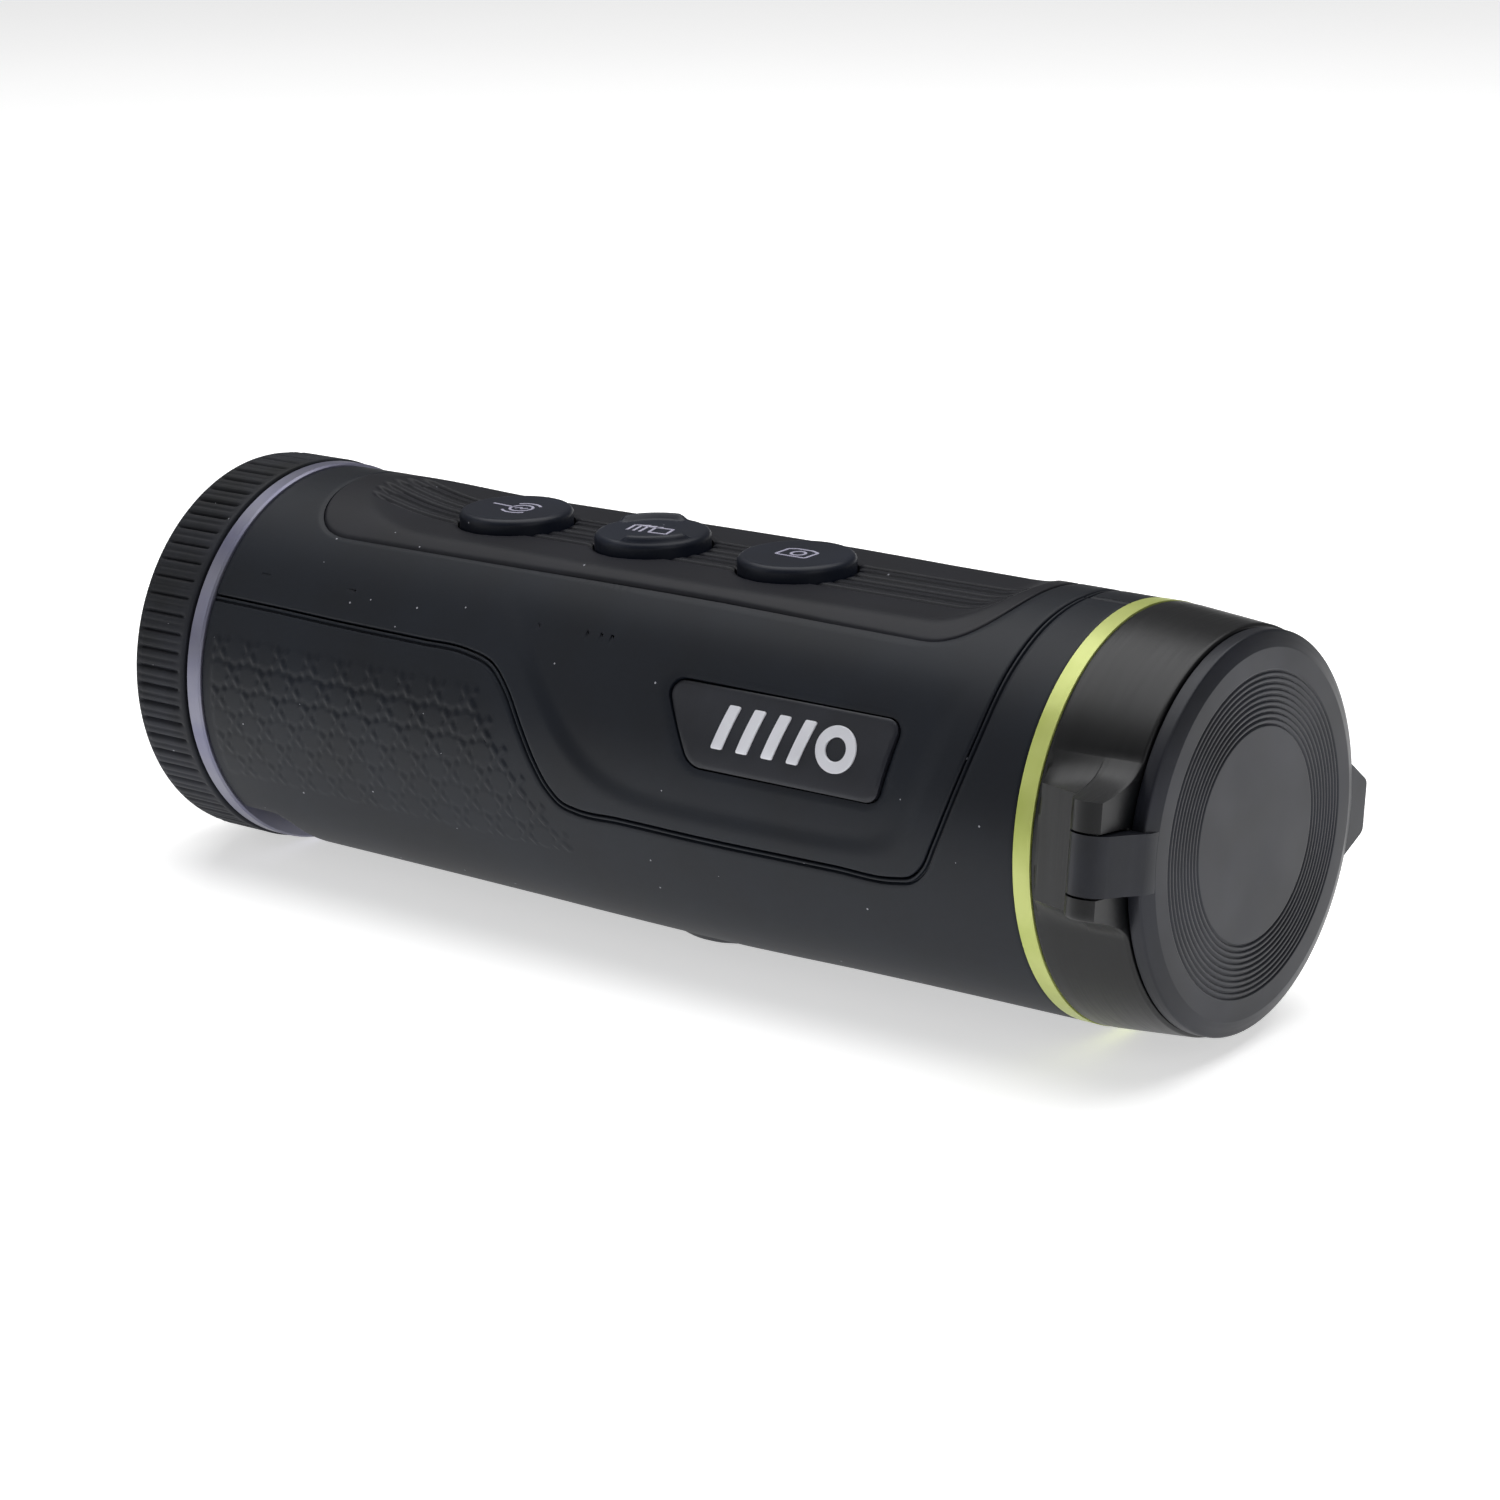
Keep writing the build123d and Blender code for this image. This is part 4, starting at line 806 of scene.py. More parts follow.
W = 0.42
magnifier = [stroke(arc_path(1.0, 0.0, 1.75, 0, 351, 60), W, True),
             stroke(straight((-0.9, 0.1), (-4.6, 0.35)), W),
             stroke(arc_path(1.0, 0.0, 2.9, 48, 132), W), stroke(arc_path(1.0, 0.0, 2.9, 228, 312), W),
             stroke(straight((0.2, -0.35), (0.7, 0.45), (1.25, -0.45), (1.8, 0.35)), W * 0.8)]
sheets = [stroke(spaced(np.array([(0.4, -1.5), (3.4, -1.2), (2.6, 1.6), (-0.4, 1.3)]), 0.4), W, True)]
for shift in (1.15, 2.3, 3.45):
    sheets.append(stroke(straight((0.1 - shift, -1.75), (-0.55 - shift, 0.95), (1.5 - shift, 1.75)), W))
camera_mark = [stroke(spaced(rounded([(-2.6, -1.7), (2.6, -1.7), (2.6, 1.6), (1.2, 2.2), (-1.4, 2.2), (-2.6, 1.6)], 0.4),
                             0.4), W, True), stroke(arc_path(0.2, 0.1, 1.05, 0, 351, 40), W, True)]
symbol("zoom_symbol", "zoom_key", KEY_PLACES[0], magnifier)
symbol("palette_symbol", "palette_key", KEY_PLACES[1], sheets)
symbol("capture_symbol", "capture_key", KEY_PLACES[2], camera_mark)

# %% [markdown]
# ## The badge
# A curved plate sits in its pocket with a thin dark gap all round. It carries a plain raised
# mark of slanted bars and a ring, which stands for no maker.

# %% Badge plate and mark
PLATE_R = 29.05


def plate_outline(p):
    """Distance outside the badge plate, which is 0.28 mm smaller all round than its pocket."""
    return polygon_gap(p, BADGE, BADGE_ROUND) + 0.28


u, v = np.linspace(-64, -22, 106), np.linspace(3.6, 17.4, 36)
plate_flat, plate_faces = flat_join(flat_surface(np.stack(np.meshgrid(u, v, indexing="ij"), -1)))
plate_flat, plate_faces = cut(plate_flat, plate_faces, lambda p: -plate_outline(p))
rim = smooth(1 + plate_outline(plate_flat) / 0.3)
used = np.unique(plate_faces[plate_faces >= 0])
relabel = np.full(len(plate_flat), -1)
relabel[used] = np.arange(len(used))
plate_faces = np.where(plate_faces < 0, -1, relabel[plate_faces])
plate_flat, rim = plate_flat[used], rim[used]
outer = on_tube(plate_flat[:, 0], plate_flat[:, 1], PLATE_R - 0.12 * rim)
inner = on_tube(plate_flat[:, 0], plate_flat[:, 1], 27.6)
badge = build("badge_plate_curved", *with_walls(outer, inner, plate_faces))
finish_piece(badge, "housing", "badge_plastic", "badge_plate")


def raised(outline, thick=0.3):
    """Outline of (x, arc) raised from the plate: rings of the same outline shrunk towards its middle."""
    p = np.concatenate([outline, outline[:1]])
    m = outline.mean(0)
    rows = [on_tube(*(m + (p - m) * k).T, r) for k, r in
            ((0, PLATE_R + thick), (0.55, PLATE_R + thick), (0.93, PLATE_R + thick), (1, PLATE_R + thick - 0.08),
             (1, PLATE_R - 0.1), (0, PLATE_R - 0.1))]
    return surface(np.stack(rows))


bars = []
for x in (-50.9, -46.6, -42.3, -38.0):
    bar = spaced(rounded([(x - 2.0, 7.7), (x - 0.1, 7.7), (x + 1.9, 14.1), (x, 14.1)], 0.3), 0.5)
    bars.append(raised(bar))
a = np.linspace(0, 2 * np.pi, 73)
ring_rows = [on_tube(-32.2 + r * np.cos(a), 10.9 + r * np.sin(a), PLATE_R + h) for r, h in
             ((1.7, -0.1), (1.7, 0.24), (1.78, 0.3), (2.5, 0.3), (3.22, 0.3), (3.3, 0.24), (3.3, -0.1), (1.7, -0.1))]
bars.append(surface(np.stack(ring_rows)))
mark = build("badge_mark_raised", *joined(*bars), sharp=35)
finish_piece(mark, "housing", "mark_silver", "badge_mark")

# %% [markdown]
# ## The dioptre ring and the eyecup
# The ring at the rear is gripped through a glove, so its rubber has deep ribs, each with a finer
# groove down its middle. The eyecup is a soft bellows that folds against the face.

# %% Dioptre grip
RIBS, RIB_DEEP = 66, 0.5
GRIP_REAR, GRIP_FRONT, GRIP_R = -164.3, -153.7, 30.2


def rib_relief(x, r, a):
    """Depth of the ribs: a narrow groove at each rib's edge and a shallower one between.
    It fades out over the smooth lips at both ends and inside the ring."""
    wave = (a * RIBS / (2 * np.pi)) % 1
    main = smooth(1 - np.minimum(wave, 1 - wave) / 0.17)
    fine = smooth(1 - np.abs(wave - 0.5) / 0.14)
    sag = 0.12 * (2 * np.abs(wave - 0.5)) ** 2
    depth = RIB_DEEP * main + 0.2 * fine + sag
    lips = smooth((x - GRIP_REAR - 0.5) / 0.7) * smooth((GRIP_FRONT - 0.9 - x) / 0.7)
    return -depth * lips * (r > 29.2)


grip_shape = rounded([(GRIP_REAR, 28.25), (GRIP_REAR, 29.9), (GRIP_REAR + 1.6, GRIP_R), (GRIP_FRONT, GRIP_R),
                      (GRIP_FRONT, 28.25)], [0.1, 0.7, 0.6, 0.5, 0.1])
grip_line = spaced(grip_shape, 0.55)
grip = build("dioptre_grip_ribbed", *turned(grip_line, RIBS * 14, rib_relief), sharp=60)
finish_piece(grip, "diopter", "rib_rubber", "diopter_grip")

# %% Eyecup
CUP_REAR, CUP_FRONT, CUP_R = -171.7, -164.35, 21.5
cup_shape = rounded([(CUP_REAR, 20.3), (CUP_REAR, 21.0), (CUP_REAR + 0.9, CUP_R), (-169.2, CUP_R), (-168.4, 20.7),
                     (-167.6, CUP_R), (-166.3, CUP_R), (-165.9, 23.4), (CUP_FRONT, 23.45), (CUP_FRONT, 16.5),
                     (-166.0, 16.5), (-166.3, 17.7), (-170.7, 19.2), (CUP_REAR, 19.9)],
                    [.3, .3, .5, .4, .3, .4, .5, .4, .3, .1, .3, .5, .5, .3])
eyecup = build("eyecup_bellows", *turned(spaced(cup_shape, 0.6), 160), sharp=60)
finish_piece(eyecup, "diopter", "eyecup_rubber", "eyecup")

# %% [markdown]
# ## The focus ring and its hinge
# The ring is turned from one piece with two ears that carry the cap's pin.
# The metal swells up to the ears in a ramp from behind, and sweeps down to the upper ear in a hollow.
# So one grid is enough: the round ring, pushed sideways near the hinge.

# %% Focus ring
CLOCK = np.radians(-8.0)          # how the ring and cap stand at rest
PIN_X, PIN_Y, KNUCKLE_R = 11.4, 32.0, 3.2
EAR_TOP, EAR_LOW, SLOT_TOP, SLOT_LOW = 7.9, -7.5, 3.9, -4.7
SWEEP_TOP, SWEEP_LOW = 12.1, -11.5
ZONE_TOP, ZONE_LOW = 18, -16      # the strip of straight columns round the hinge


def clocked(points):
    """Turns points about the optical axis by the rest angle."""
    c, s = np.cos(CLOCK), np.sin(CLOCK)
    x, y, z = np.moveaxis(points, -1, 0)
    return np.stack([x, y * c - z * s, y * s + z * c], -1)


def ear_reach(x):
    """How far out the hinge stands: a straight ramp up to the pin, then the round end about the pin."""
    ramp = 29.0 + (PIN_Y - 29.0) * (x - 0.7) / (PIN_X - KNUCKLE_R - 0.7)
    lift = np.sqrt(np.maximum(KNUCKLE_R ** 2 - (x - PIN_X) ** 2, 0))
    return np.where(x < PIN_X - KNUCKLE_R, ramp, PIN_Y + lift)


def hinge_share(x, z):
    """1 at the ears, 0 on the plain ring.
    Above the ears it falls off in a hollow sweep with a crease at its end."""
    up = np.clip((z - EAR_TOP) / (SWEEP_TOP - EAR_TOP), 0, 1)
    down = np.clip((EAR_LOW - z) / (EAR_LOW - SWEEP_LOW), 0, 1)
    share = np.where(z > EAR_TOP, 0.22 * (1 - up) + 0.78 * (1 - up) ** 3.2, (1 - down) ** 2.4)
    slot = (x > PIN_X - KNUCKLE_R) & (z > SLOT_LOW) & (z < SLOT_TOP)
    return np.where(slot, 0, share) * (x > 0.7)


def focus_ring_surface():
    """A closed profile carried round the axis. Near the hinge the columns keep a constant height z, and
    their outer points move out towards the ears by the hinge's share of the way."""
    back = PIN_X - KNUCKLE_R
    x = np.concatenate([[0.12, 0.2, 0.4, 0.7], np.linspace(1.2, back - 0.4, 16),
                        [back - 0.12, back - 0.01, back + 0.01],
                        PIN_X - KNUCKLE_R * np.cos(np.linspace(0.1, 2.09, 22)), [13.1, 13.3, 13.45, 13.55, 13.6]])
    base = np.interp(x, [0.12, 0.2, 0.4, 2.0, 13.1, 13.3, 13.45, 13.55, 13.6],
                     [28.85, 28.98, 29.05, 28.98, 27.95, 27.9, 27.8, 27.65, 27.45])
    inside = np.array([(13.6, 25.0), (13.6, 23.5), (13.3, 22.9), (12.8, 22.7), (10.8, 22.6),
                       (10.7, 24.7), (0.12, 24.7), (0.12, 28.85)])
    profile = np.concatenate([np.column_stack([x, base]), inside])
    z_hinge = np.concatenate([np.linspace(ZONE_LOW, SWEEP_LOW, 8)[:-1], np.linspace(SWEEP_LOW, EAR_LOW, 14)[:-1],
                              [EAR_LOW, EAR_LOW + .1, EAR_LOW + .3], np.linspace(-7, SLOT_LOW - .05, 5),
                              [SLOT_LOW - .006, SLOT_LOW + .006],
                              np.linspace(SLOT_LOW + .1, SLOT_TOP - .1, 10), [SLOT_TOP - .006, SLOT_TOP + .006],
                              np.linspace(SLOT_TOP + .1, EAR_TOP - .1, 8), [EAR_TOP], np.linspace(EAR_TOP, SWEEP_TOP, 22)[1:],
                              np.linspace(SWEEP_TOP, ZONE_TOP, 8)[1:]])
    px, pr = profile[:, :1], profile[:, 1:]
    # the angles at which the straight columns end differ with the radius
    first, last = np.arcsin(ZONE_TOP / pr), 2 * np.pi + np.arcsin(ZONE_LOW / pr)
    a = first + (last - first) * np.linspace(0, 1, 150)[1:-1]
    zone_z = np.broadcast_to(z_hinge[None], (len(profile), len(z_hinge)))
    zone_y = np.sqrt(np.maximum(pr ** 2 - zone_z ** 2, 0))
    outer_row = (np.arange(len(profile)) < len(x))[:, None]
    soft = np.clip(1 - (zone_z - EAR_LOW) / 0.45, 0, 1) * (zone_z >= EAR_LOW)
    reach = ear_reach(px) - 0.3 * soft ** 2 * (px > back)
    share = hinge_share(px, zone_z)
    share = np.where(zone_z < EAR_LOW, share * (1 - 0.05), share)
    zone_y = zone_y + outer_row * share * np.maximum(reach - zone_y, 0)
    zone = np.stack(np.broadcast_arrays(px, -zone_y, zone_z), -1)
    rest = np.stack(np.broadcast_arrays(px, -pr * np.cos(a), pr * np.sin(a)), -1)
    grid = np.concatenate([zone, rest, zone[:, :1]], 1)
    return surface(clocked(grid))


focus_ring = build("focus_ring_turned", *focus_ring_surface(), sharp=32)
finish_piece(focus_ring, "focus_ring", "black_anodised", "focus_ring")

# %% [markdown]
# ## The flip-up cap
# A shallow lid with a chamfer, a band of fine turned grooves on its face, a tab for the thumb,
# and an arm that ends in the hinge's knuckle.

# %% Lens cap
CAP_FACE, CAP_EDGE, CAP_BACK, CAP_R = 16.6, 15.8, 13.8, 27.5
GROOVES, GROOVE_FROM, GROOVE_TO = 10, 14.9, 22.0


def cap_surface():
    """Lid outline carried round the axis. The grooves lower its face by a cosine of the radius to a power."""
    rim = rounded([(15.0, 25.9), (CAP_BACK, 25.9), (CAP_BACK, CAP_R), (CAP_EDGE, CAP_R),
                   (CAP_FACE, 25.2), (CAP_FACE, 23.0)],
                  [.2, .2, .2, .45, .5, .0])
    pitch = (GROOVE_TO - GROOVE_FROM) / (GROOVES - 1)
    r = np.arange(GROOVE_TO + 0.5, GROOVE_FROM - 0.5, -0.079)
    wave = 0.5 + 0.5 * np.cos(2 * np.pi * (r - GROOVE_FROM) / pitch)
    x = CAP_FACE - 0.2 * wave ** 2.2 * (r < GROOVE_TO + 0.4) * (r > GROOVE_FROM - 0.4)
    face = np.column_stack([x, r])
    centre = np.array([(CAP_FACE, 13.0), (CAP_FACE, 8.0), (CAP_FACE, 3.0), (CAP_FACE, 0), (15.0, 0), (15.0, 12.0)])
    return turned(np.concatenate([rim, face, centre]), 200)


def arm_surface():
    """Prism of the arm's side outline: flat along the cap's face, then round the pin as the knuckle."""
    a = np.radians(np.linspace(72, 338, 48))
    knuckle = np.stack([PIN_X + KNUCKLE_R * np.cos(a), -PIN_Y + KNUCKLE_R * np.sin(a)], -1)
    outline = np.concatenate([[(CAP_FACE - 0.02, -25.0), (14.1, -25.0), (14.1, -28.4)], knuckle,
                              [(15.2, -30.4), (16.3, -27.7), (CAP_FACE - 0.02, -27.0)]])
    return prism(outline, SLOT_LOW + 0.3, SLOT_TOP - 0.3, lambda a, b, h: np.stack([a, b, h], -1))


def tab_surface():
    """Prism of a trapezium with rounded corners, which narrows outwards."""
    outline = rounded([(24.5, -7.4), (27.0, -6.3), (31.6, -3.6), (31.6, 3.6), (27.0, 6.3), (24.5, 7.4)],
                      [.1, 1.0, 1.3, 1.3, 1.0, .1])
    return prism(outline, CAP_BACK + 0.1, CAP_EDGE - 0.05, lambda a, b, h: np.stack([h, a, b], -1))


cap_points, cap_faces = joined(cap_surface(), arm_surface(), tab_surface())
lens_cap = build("lens_cap_turned", clocked(cap_points), cap_faces, sharp=30)
finish_piece(lens_cap, "lens_cap", "black_anodised", "lens_cap")

# %% [markdown]
# ## Finishes
# A colour is written as the sRGB hex code that a paint card would give, and turned into linear light.
# One function adds any node. Patterns are scaled from millimetres, since the scene is in metres.

# %% Colours and nodes
def linear(hexcode):
    """sRGB hex to linear: each channel is c / 12.92 below 0.04045, and ((c + 0.055) / 1.055) ** 2.4 above."""
    c = np.array([int(hexcode[k:k + 2], 16) for k in (1, 3, 5)]) / 255
    c = np.where(c <= 0.04045, c / 12.92, ((c + 0.055) / 1.055) ** 2.4)
    return (*c.tolist(), 1.0)


def add(tree, kind, inputs=None, **settings):
    """Adds a node, sets its properties, and fills or links its inputs."""
    made = tree.nodes.new("ShaderNode" + kind)
    for key, value in settings.items():
        setattr(made, key, value)
    for socket, value in (inputs or {}).items():
        if isinstance(value, bpy.types.NodeSocket):
            tree.links.new(value, made.inputs[socket])
        else:
            made.inputs[socket].default_value = value
    return made


def grain_scale(size_mm):
    """Noise scale for a pattern whose features are this many millimetres across."""
    return 1.0 / (size_mm * MM)


def start(name, roughness, metallic=0.0, ior=1.5, **sockets):
    """New material with its shader. Values that are the same all over are set on the shader itself."""
    material = bpy.data.materials.new(name)
    material.use_nodes = True
    tree = material.node_tree
    shader = tree.nodes["Principled BSDF"]
    shader.inputs["Roughness"].default_value = roughness
    shader.inputs["Metallic"].default_value = metallic
    shader.inputs["IOR"].default_value = ior
    for socket, value in sockets.items():
        shader.inputs[socket.replace("_", " ")].default_value = value
    place = add(tree, "TexCoord").outputs["Object"]
    return material, tree, shader, place


def two_tone(tree, place, dark, light, size_mm, detail=3.0, low=0.35, high=0.65):
    """Colour that drifts between two shades with noise of this size."""
    noise = add(tree, "TexNoise", {"Vector": place, "Scale": grain_scale(size_mm), "Detail": detail})
    ramp = add(tree, "ValToRGB", {"Fac": noise.outputs["Fac"]})
    ramp.color_ramp.elements[0].position, ramp.color_ramp.elements[1].position = low, high
    ramp.color_ramp.elements[0].color, ramp.color_ramp.elements[1].color = linear(dark), linear(light)
    return ramp.outputs["Color"]


def grained(tree, shader, place, size_mm, strength, depth_mm=0.02, detail=4.0):
    """Fine moulded grain as a bump."""
    noise = add(tree, "TexNoise", {"Vector": place, "Scale": grain_scale(size_mm), "Detail": detail})
    bump = add(tree, "Bump", {"Height": noise.outputs["Fac"], "Strength": strength, "Distance": depth_mm * MM})
    tree.links.new(bump.outputs["Normal"], shader.inputs["Normal"])
    return bump


def dusted(tree, place, colour, dust, spacing_mm, size_share, amount):
    """Specks of dust: small discs round the points of a Voronoi pattern, of which noise keeps some."""
    points = add(tree, "TexVoronoi", {"Vector": place, "Scale": grain_scale(spacing_mm), "Randomness": 1.0})
    near = add(tree, "Math", {0: points.outputs["Distance"], 1: size_share}, operation="LESS_THAN")
    pick = add(tree, "SeparateColor", {"Color": points.outputs["Color"]})
    some = add(tree, "Math", {0: pick.outputs["Red"], 1: 1 - amount}, operation="GREATER_THAN")
    both = add(tree, "Math", {0: near.outputs[0], 1: some.outputs[0]}, operation="MULTIPLY")
    mix = add(tree, "Mix", {"Factor": both.outputs[0], "A": colour, "B": linear(dust)}, data_type="RGBA")
    return mix.outputs["Result"]


# %% [markdown]
# ## Materials
# Each is named for the real material and how its surface was made.

# %% Rubbers and plastics
def soft_touch(name, dark, light, roughness, grain, dust=0.0, specular=0.5):
    """Elastomer or painted plastic with a fine moulded grain and a little dust."""
    material, tree, shader, place = start(name, roughness, Specular_IOR_Level=specular)
    colour = two_tone(tree, place, dark, light, 14.0)
    if dust:
        colour = dusted(tree, place, colour, "#9a9ba3", 3.1, 0.05, dust)
    tree.links.new(colour, shader.inputs["Base Color"])
    grained(tree, shader, place, 0.45, grain)
    return material


SOFT = soft_touch("Soft-touch elastomer, moulded over the shell", "#0a0f18", "#0e141e", 0.50, 0.30, 0.35,
                  specular=0.28)
PANEL = soft_touch("Keypad rubber, moulded", "#101118", "#14151d", 0.50, 0.25, 0.25, specular=0.26)
KEYS = soft_touch("Key rubber, moulded with a satin tool", "#0f1421", "#141a28", 0.42, 0.20, 0.1, specular=0.3)
RIBS_RUBBER = soft_touch("Grip rubber, moulded in ribs, dusty", "#101216", "#20222a", 0.66, 0.5, 0.6,
                         specular=0.3)
CUP = soft_touch("Eyecup rubber, moulded", "#131417", "#1a1b1e", 0.7, 0.4, 0.3)
CORE = soft_touch("Glass-filled nylon, moulded", "#1f2023", "#27282c", 0.55, 0.4)
DISPLAY = soft_touch("Display glass, black masked", "#08090b", "#0c0d10", 0.12, 0.02)

# %% [markdown]
# Anodised metal is aluminium under a coloured oxide layer. The turning tool leaves rings about the axis,
# so the roughness changes along the axis in fine lines.
# Real lines are 0.05 mm apart; they are drawn at 0.25 mm so they can be seen.

# %% Metals
def anodised(name, dark, light, roughness, metallic, lines=0.10):
    """Turned and anodised aluminium: colour drift, and roughness in rings about the optical axis."""
    material, tree, shader, place = start(name, roughness, metallic)
    tree.links.new(two_tone(tree, place, dark, light, 9.0), shader.inputs["Base Color"])
    along = add(tree, "Mapping", {"Vector": place, "Scale": (1.0, 0.02, 0.02)})
    ring = add(tree, "TexNoise", {"Vector": along.outputs[0], "Scale": grain_scale(0.25), "Detail": 2.0})
    rough = add(tree, "MapRange", {"Value": ring.outputs["Fac"], "To Min": roughness - lines,
                                   "To Max": roughness + lines})
    tree.links.new(rough.outputs[0], shader.inputs["Roughness"])
    bump = add(tree, "Bump", {"Height": ring.outputs["Fac"], "Strength": 0.12, "Distance": 0.01 * MM})
    tree.links.new(bump.outputs["Normal"], shader.inputs["Normal"])
    return material


BLACK = anodised("Aluminium, turned and anodised black", "#08090b", "#0d0e11", 0.36, 0.3)
CAPPED = anodised("Aluminium cap, turned and anodised dark grey", "#16181f", "#1c1e27", 0.42, 0.35)
LIME = anodised("Aluminium, turned and anodised lime", "#b2bd62", "#c2cb78", 0.34, 0.25)
GREY = anodised("Aluminium, turned and anodised lavender grey", "#74748a", "#80808f", 0.38, 0.6)
STEEL = anodised("Stainless steel, ground", "#a9acb0", "#bcbfc3", 0.28, 1.0)
BRASS = anodised("Brass, turned", "#b08d4a", "#c49f58", 0.32, 1.0)
BADGE = anodised("Badge plate, brushed and lacquered dark grey", "#1b1d24", "#22242c", 0.40, 0.3)
SILVER = anodised("Badge mark, printed silver grey", "#d2d3da", "#dedfe6", 0.45, 0.2)
ICONS = soft_touch("Key symbols, pad-printed lilac grey", "#a2a0b4", "#b0aec0", 0.5, 0.1)

# %% [markdown]
# Lenses are ground, polished and coated. Boards are fibreglass under green solder mask, and the cell has a
# shrunk film. Only the front lens and the eyepiece lens can be seen, with the cap open and from behind.

# %% Glass, board and wrap
def coated(name, dark, light, roughness, metallic):
    """Lens with a thin coating: the gloss grows sharper at a grazing view, by the layer weight's facing value."""
    material, tree, shader, place = start(name, roughness, metallic)
    edge = add(tree, "LayerWeight", {"Blend": 0.4})
    base = two_tone(tree, place, dark, light, 20.0)
    gloss = add(tree, "MapRange", {"Value": edge.outputs["Facing"], "To Min": roughness, "To Max": roughness * 0.4})
    tree.links.new(base, shader.inputs["Base Color"])
    tree.links.new(gloss.outputs[0], shader.inputs["Roughness"])
    return material


GERMANIUM = coated("Germanium, polished and coated", "#3a3040", "#52405c", 0.10, 0.8)
GLASS = coated("Optical glass, polished and coated", "#1b2a30", "#223842", 0.05, 0.1)


def board_finish():
    """Fibreglass board: solder mask green with paler copper tracks under it as a brick pattern."""
    material, tree, shader, place = start("Circuit board, solder masked", 0.4)
    track = add(tree, "TexBrick", {"Vector": place, "Scale": grain_scale(6.0), "Color1": linear("#155c34"),
                                   "Color2": linear("#1b6a3d"), "Mortar": linear("#2f8f55"), "Mortar Size": 0.03})
    tree.links.new(track.outputs["Color"], shader.inputs["Base Color"])
    grained(tree, shader, place, 1.2, 0.2)
    return material


BOARD = board_finish()
WRAP = soft_touch("Battery wrap, shrunk PVC film", "#1c3f73", "#224a84", 0.3, 0.15)

# %% [markdown]
# ## Every piece gets its finish
# The CAD's pieces are dressed by their record slot. The pieces made here are named one by one.

# %% Dressing
BY_SLOT = {"soft_touch": SOFT, "keypad_rubber": PANEL, "rib_rubber": RIBS_RUBBER, "eyecup_rubber": CUP,
           "black_anodised": BLACK, "lime_anodised": LIME, "grey_anodised": GREY, "core_plastic": CORE,
           "badge_plastic": BADGE, "mark_silver": SILVER, "circuit_board": BOARD, "steel": STEEL, "brass": BRASS,
           "germanium": GERMANIUM, "optical_glass": GLASS, "display_black": DISPLAY, "battery_wrap": WRAP}
BY_NAME = {"lens_cap_turned": CAPPED, "zoom_key_button": KEYS, "palette_key_button": KEYS,
           "capture_key_button": KEYS,
           "zoom_symbol": ICONS, "palette_symbol": ICONS, "capture_symbol": ICONS,
           "zoom_key": KEYS, "palette_key": KEYS, "capture_key": KEYS, "lens_cap": CAPPED}


def dress(piece, material):
    """Gives the piece this one material on all of its faces."""
    piece.data.materials.clear()
    piece.data.materials.append(material)
    piece.data.polygons.foreach_set("material_index", np.zeros(len(piece.data.polygons), np.int32))


slots = {part["node"]: part["material_slot"] for part in frame["record"]["subparts"]}
MADE_SLOT = {"upper_cover_soft_touch": "soft_touch", "lower_cover_soft_touch": "soft_touch",
             "key_panel_rubber": "keypad_rubber", "badge_plate_curved": "badge_plastic",
             "badge_mark_raised": "mark_silver", "dioptre_grip_ribbed": "rib_rubber",
             "eyecup_bellows": "eyecup_rubber", "focus_ring_turned": "black_anodised"}
count = 0
for piece in [o for o in bpy.data.objects if o.type == "MESH"]:
    wanted = BY_NAME.get(piece.name) or BY_SLOT[slots.get(piece.name) or MADE_SLOT[piece.name]]
    dress(piece, wanted)
    count += 1
print("pieces dressed:", count)

# %% [markdown]
# ## The view
# A long lens on a full-frame sensor, a good half metre away, looking slightly down.
# The camera's own right, up and back directions are written out and set as its matrix.

# %% Camera
TURN, TILT, ROLL = 0.669498, 0.244809, -0.024827     # radians
PLACE = Vector((0.337998, -0.433462, 0.194558))
right = np.array([np.cos(TURN), np.sin(TURN), 0.0])
back = np.array([np.sin(TURN) * np.cos(TILT), -np.cos(TURN) * np.cos(TILT), np.sin(TILT)])
up = np.cross(back, right)
rolled_right = np.cos(ROLL) * right + np.sin(ROLL) * up
rolled_up = -np.sin(ROLL) * right + np.cos(ROLL) * up

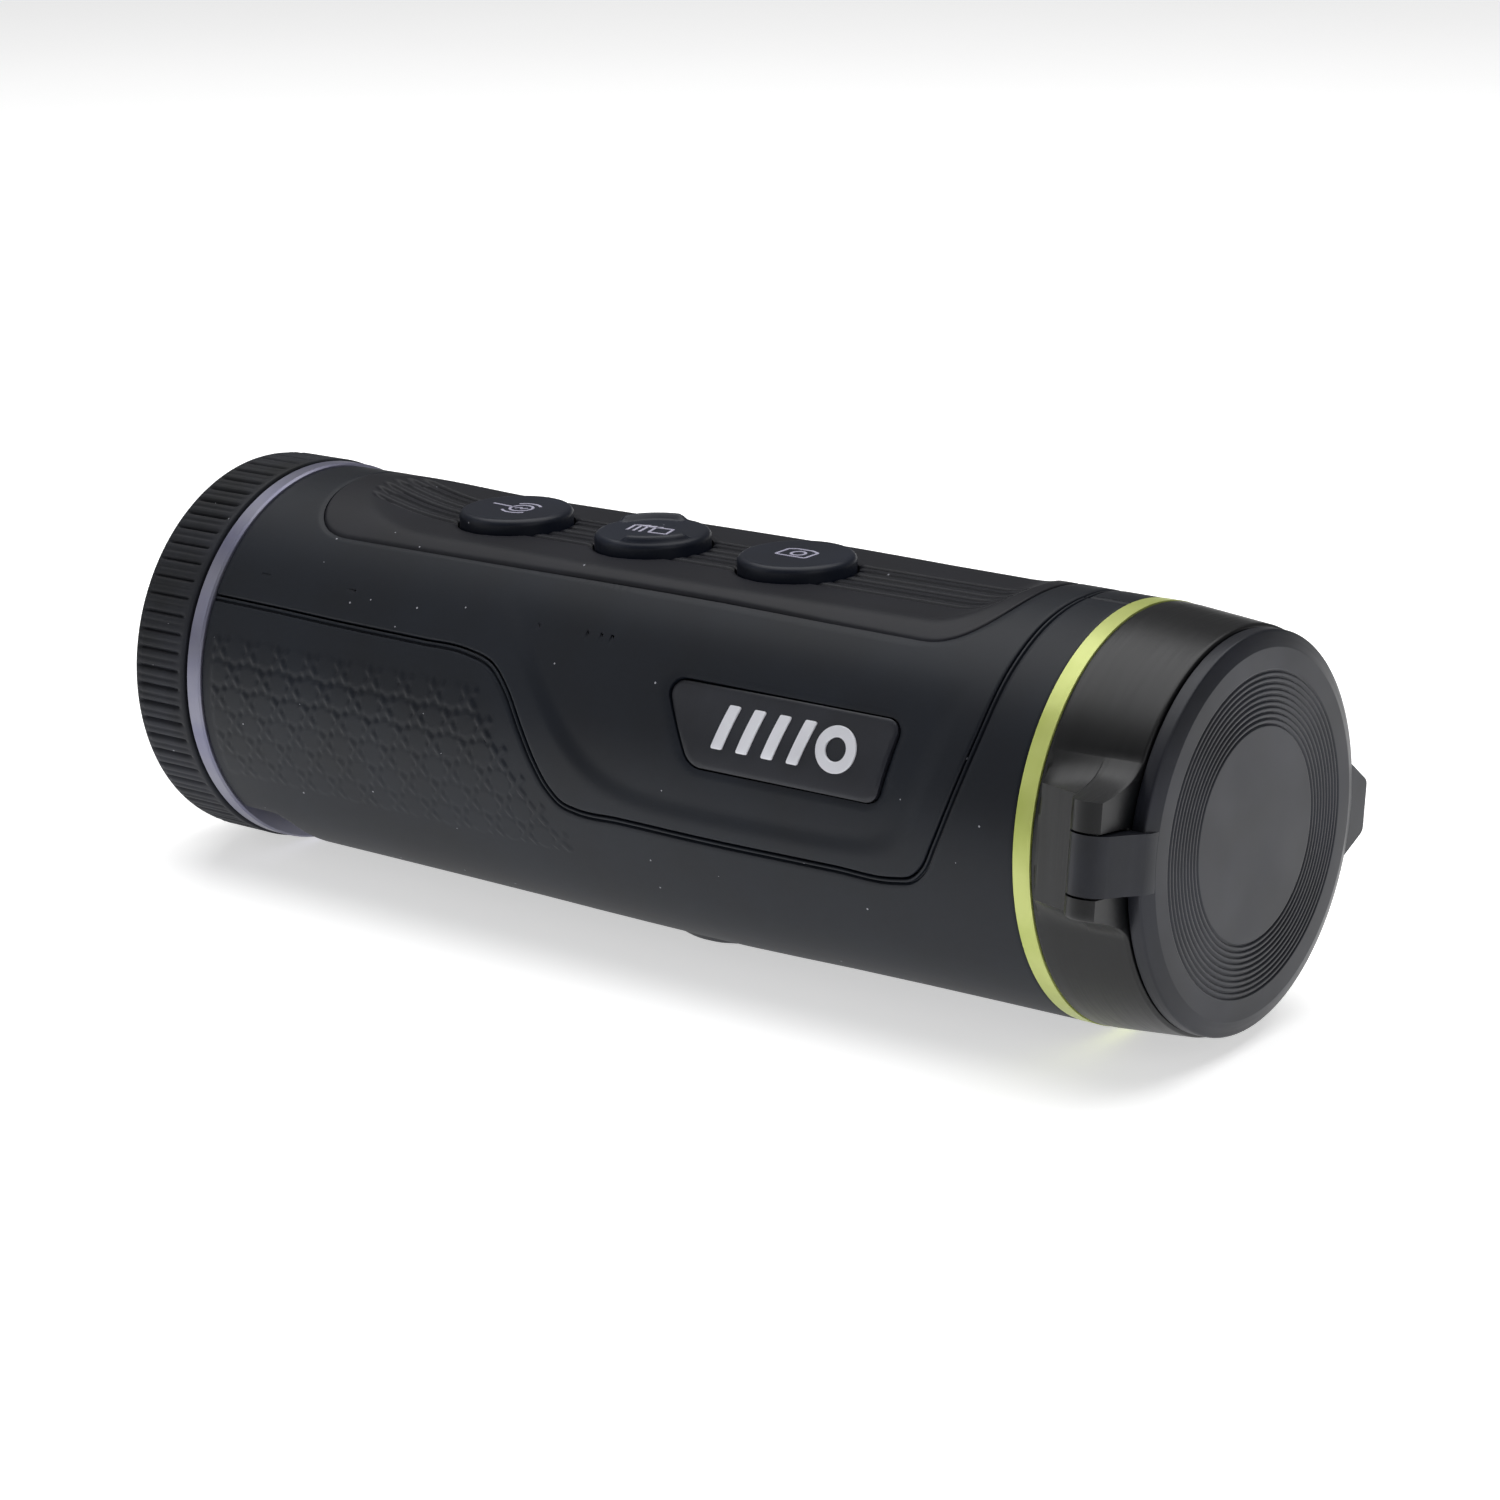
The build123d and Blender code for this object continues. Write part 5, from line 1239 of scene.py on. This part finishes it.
lens_data = bpy.data.cameras.new("product_camera")
lens_data.sensor_width = 36
lens_data.lens = 94.389
lens_data.shift_x = 0.0293
lens_data.shift_y = -0.1333
lens_data.clip_end = 20
camera = bpy.data.objects.new("product_camera", lens_data)
bpy.context.scene.collection.objects.link(camera)
columns = [rolled_right, rolled_up, back]
rows = [[*(column[row] for column in columns), PLACE[row]] for row in range(3)]
camera.matrix_world = Matrix(rows + [[0, 0, 0, 1]])
bpy.context.scene.camera = camera

# %% [markdown]
# ## Light
# A white table that glows faintly, in a dim white room. Three large panels: one over the object,
# one from the left behind the camera, and one on the right that lights the front.
# The table throws light back up under the body.

# %% Floor, room and lamps
FLOOR_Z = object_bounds()[0][2]
floor_mesh = bpy.data.meshes.new("table")
half = 3.0
floor_mesh.from_pydata([(-half, -half, FLOOR_Z), (half, -half, FLOOR_Z), (half, half, FLOOR_Z),
                        (-half, half, FLOOR_Z)], [], [(0, 1, 2, 3)])
table = bpy.data.objects.new("table", floor_mesh)
bpy.context.scene.collection.objects.link(table)

paper, tree, shader, place = start("White acrylic light table", 0.85, Emission_Strength=0.55)
shader.inputs["Emission Color"].default_value = linear("#ffffff")
tree.links.new(two_tone(tree, place, "#fafafa", "#fdfdfd", 200.0), shader.inputs["Base Color"])
floor_mesh.materials.append(paper)

room = bpy.data.worlds.new("white_room")
room.use_nodes = True
room.node_tree.nodes["Background"].inputs["Color"].default_value = (1, 1, 1, 1)
room.node_tree.nodes["Background"].inputs["Strength"].default_value = 0.14
bpy.context.scene.world = room


def panel_lamp(name, place, size, power, aim=(0, 0, 0.03)):
    """Rectangular lamp at a place in metres, turned towards the aim, of this power in watts."""
    lamp = bpy.data.lights.new(name, "AREA")
    lamp.shape, lamp.size, lamp.size_y, lamp.energy = "RECTANGLE", size[0], size[1], power
    holder = bpy.data.objects.new(name, lamp)
    bpy.context.scene.collection.objects.link(holder)
    holder.location = place
    holder.rotation_euler = (Vector(aim) - Vector(place)).to_track_quat("-Z", "Y").to_euler()
    return holder


panel_lamp("top_panel", (-0.05, 0.15, 0.9), (1.4, 0.9), 10.0)
panel_lamp("left_panel", (-0.7, -0.7, 0.5), (0.7, 0.5), 0.9)
panel_lamp("front_panel", (0.8, -0.25, 0.35), (0.4, 0.5), 0.7)
bpy.context.scene.view_settings.view_transform = "Standard"
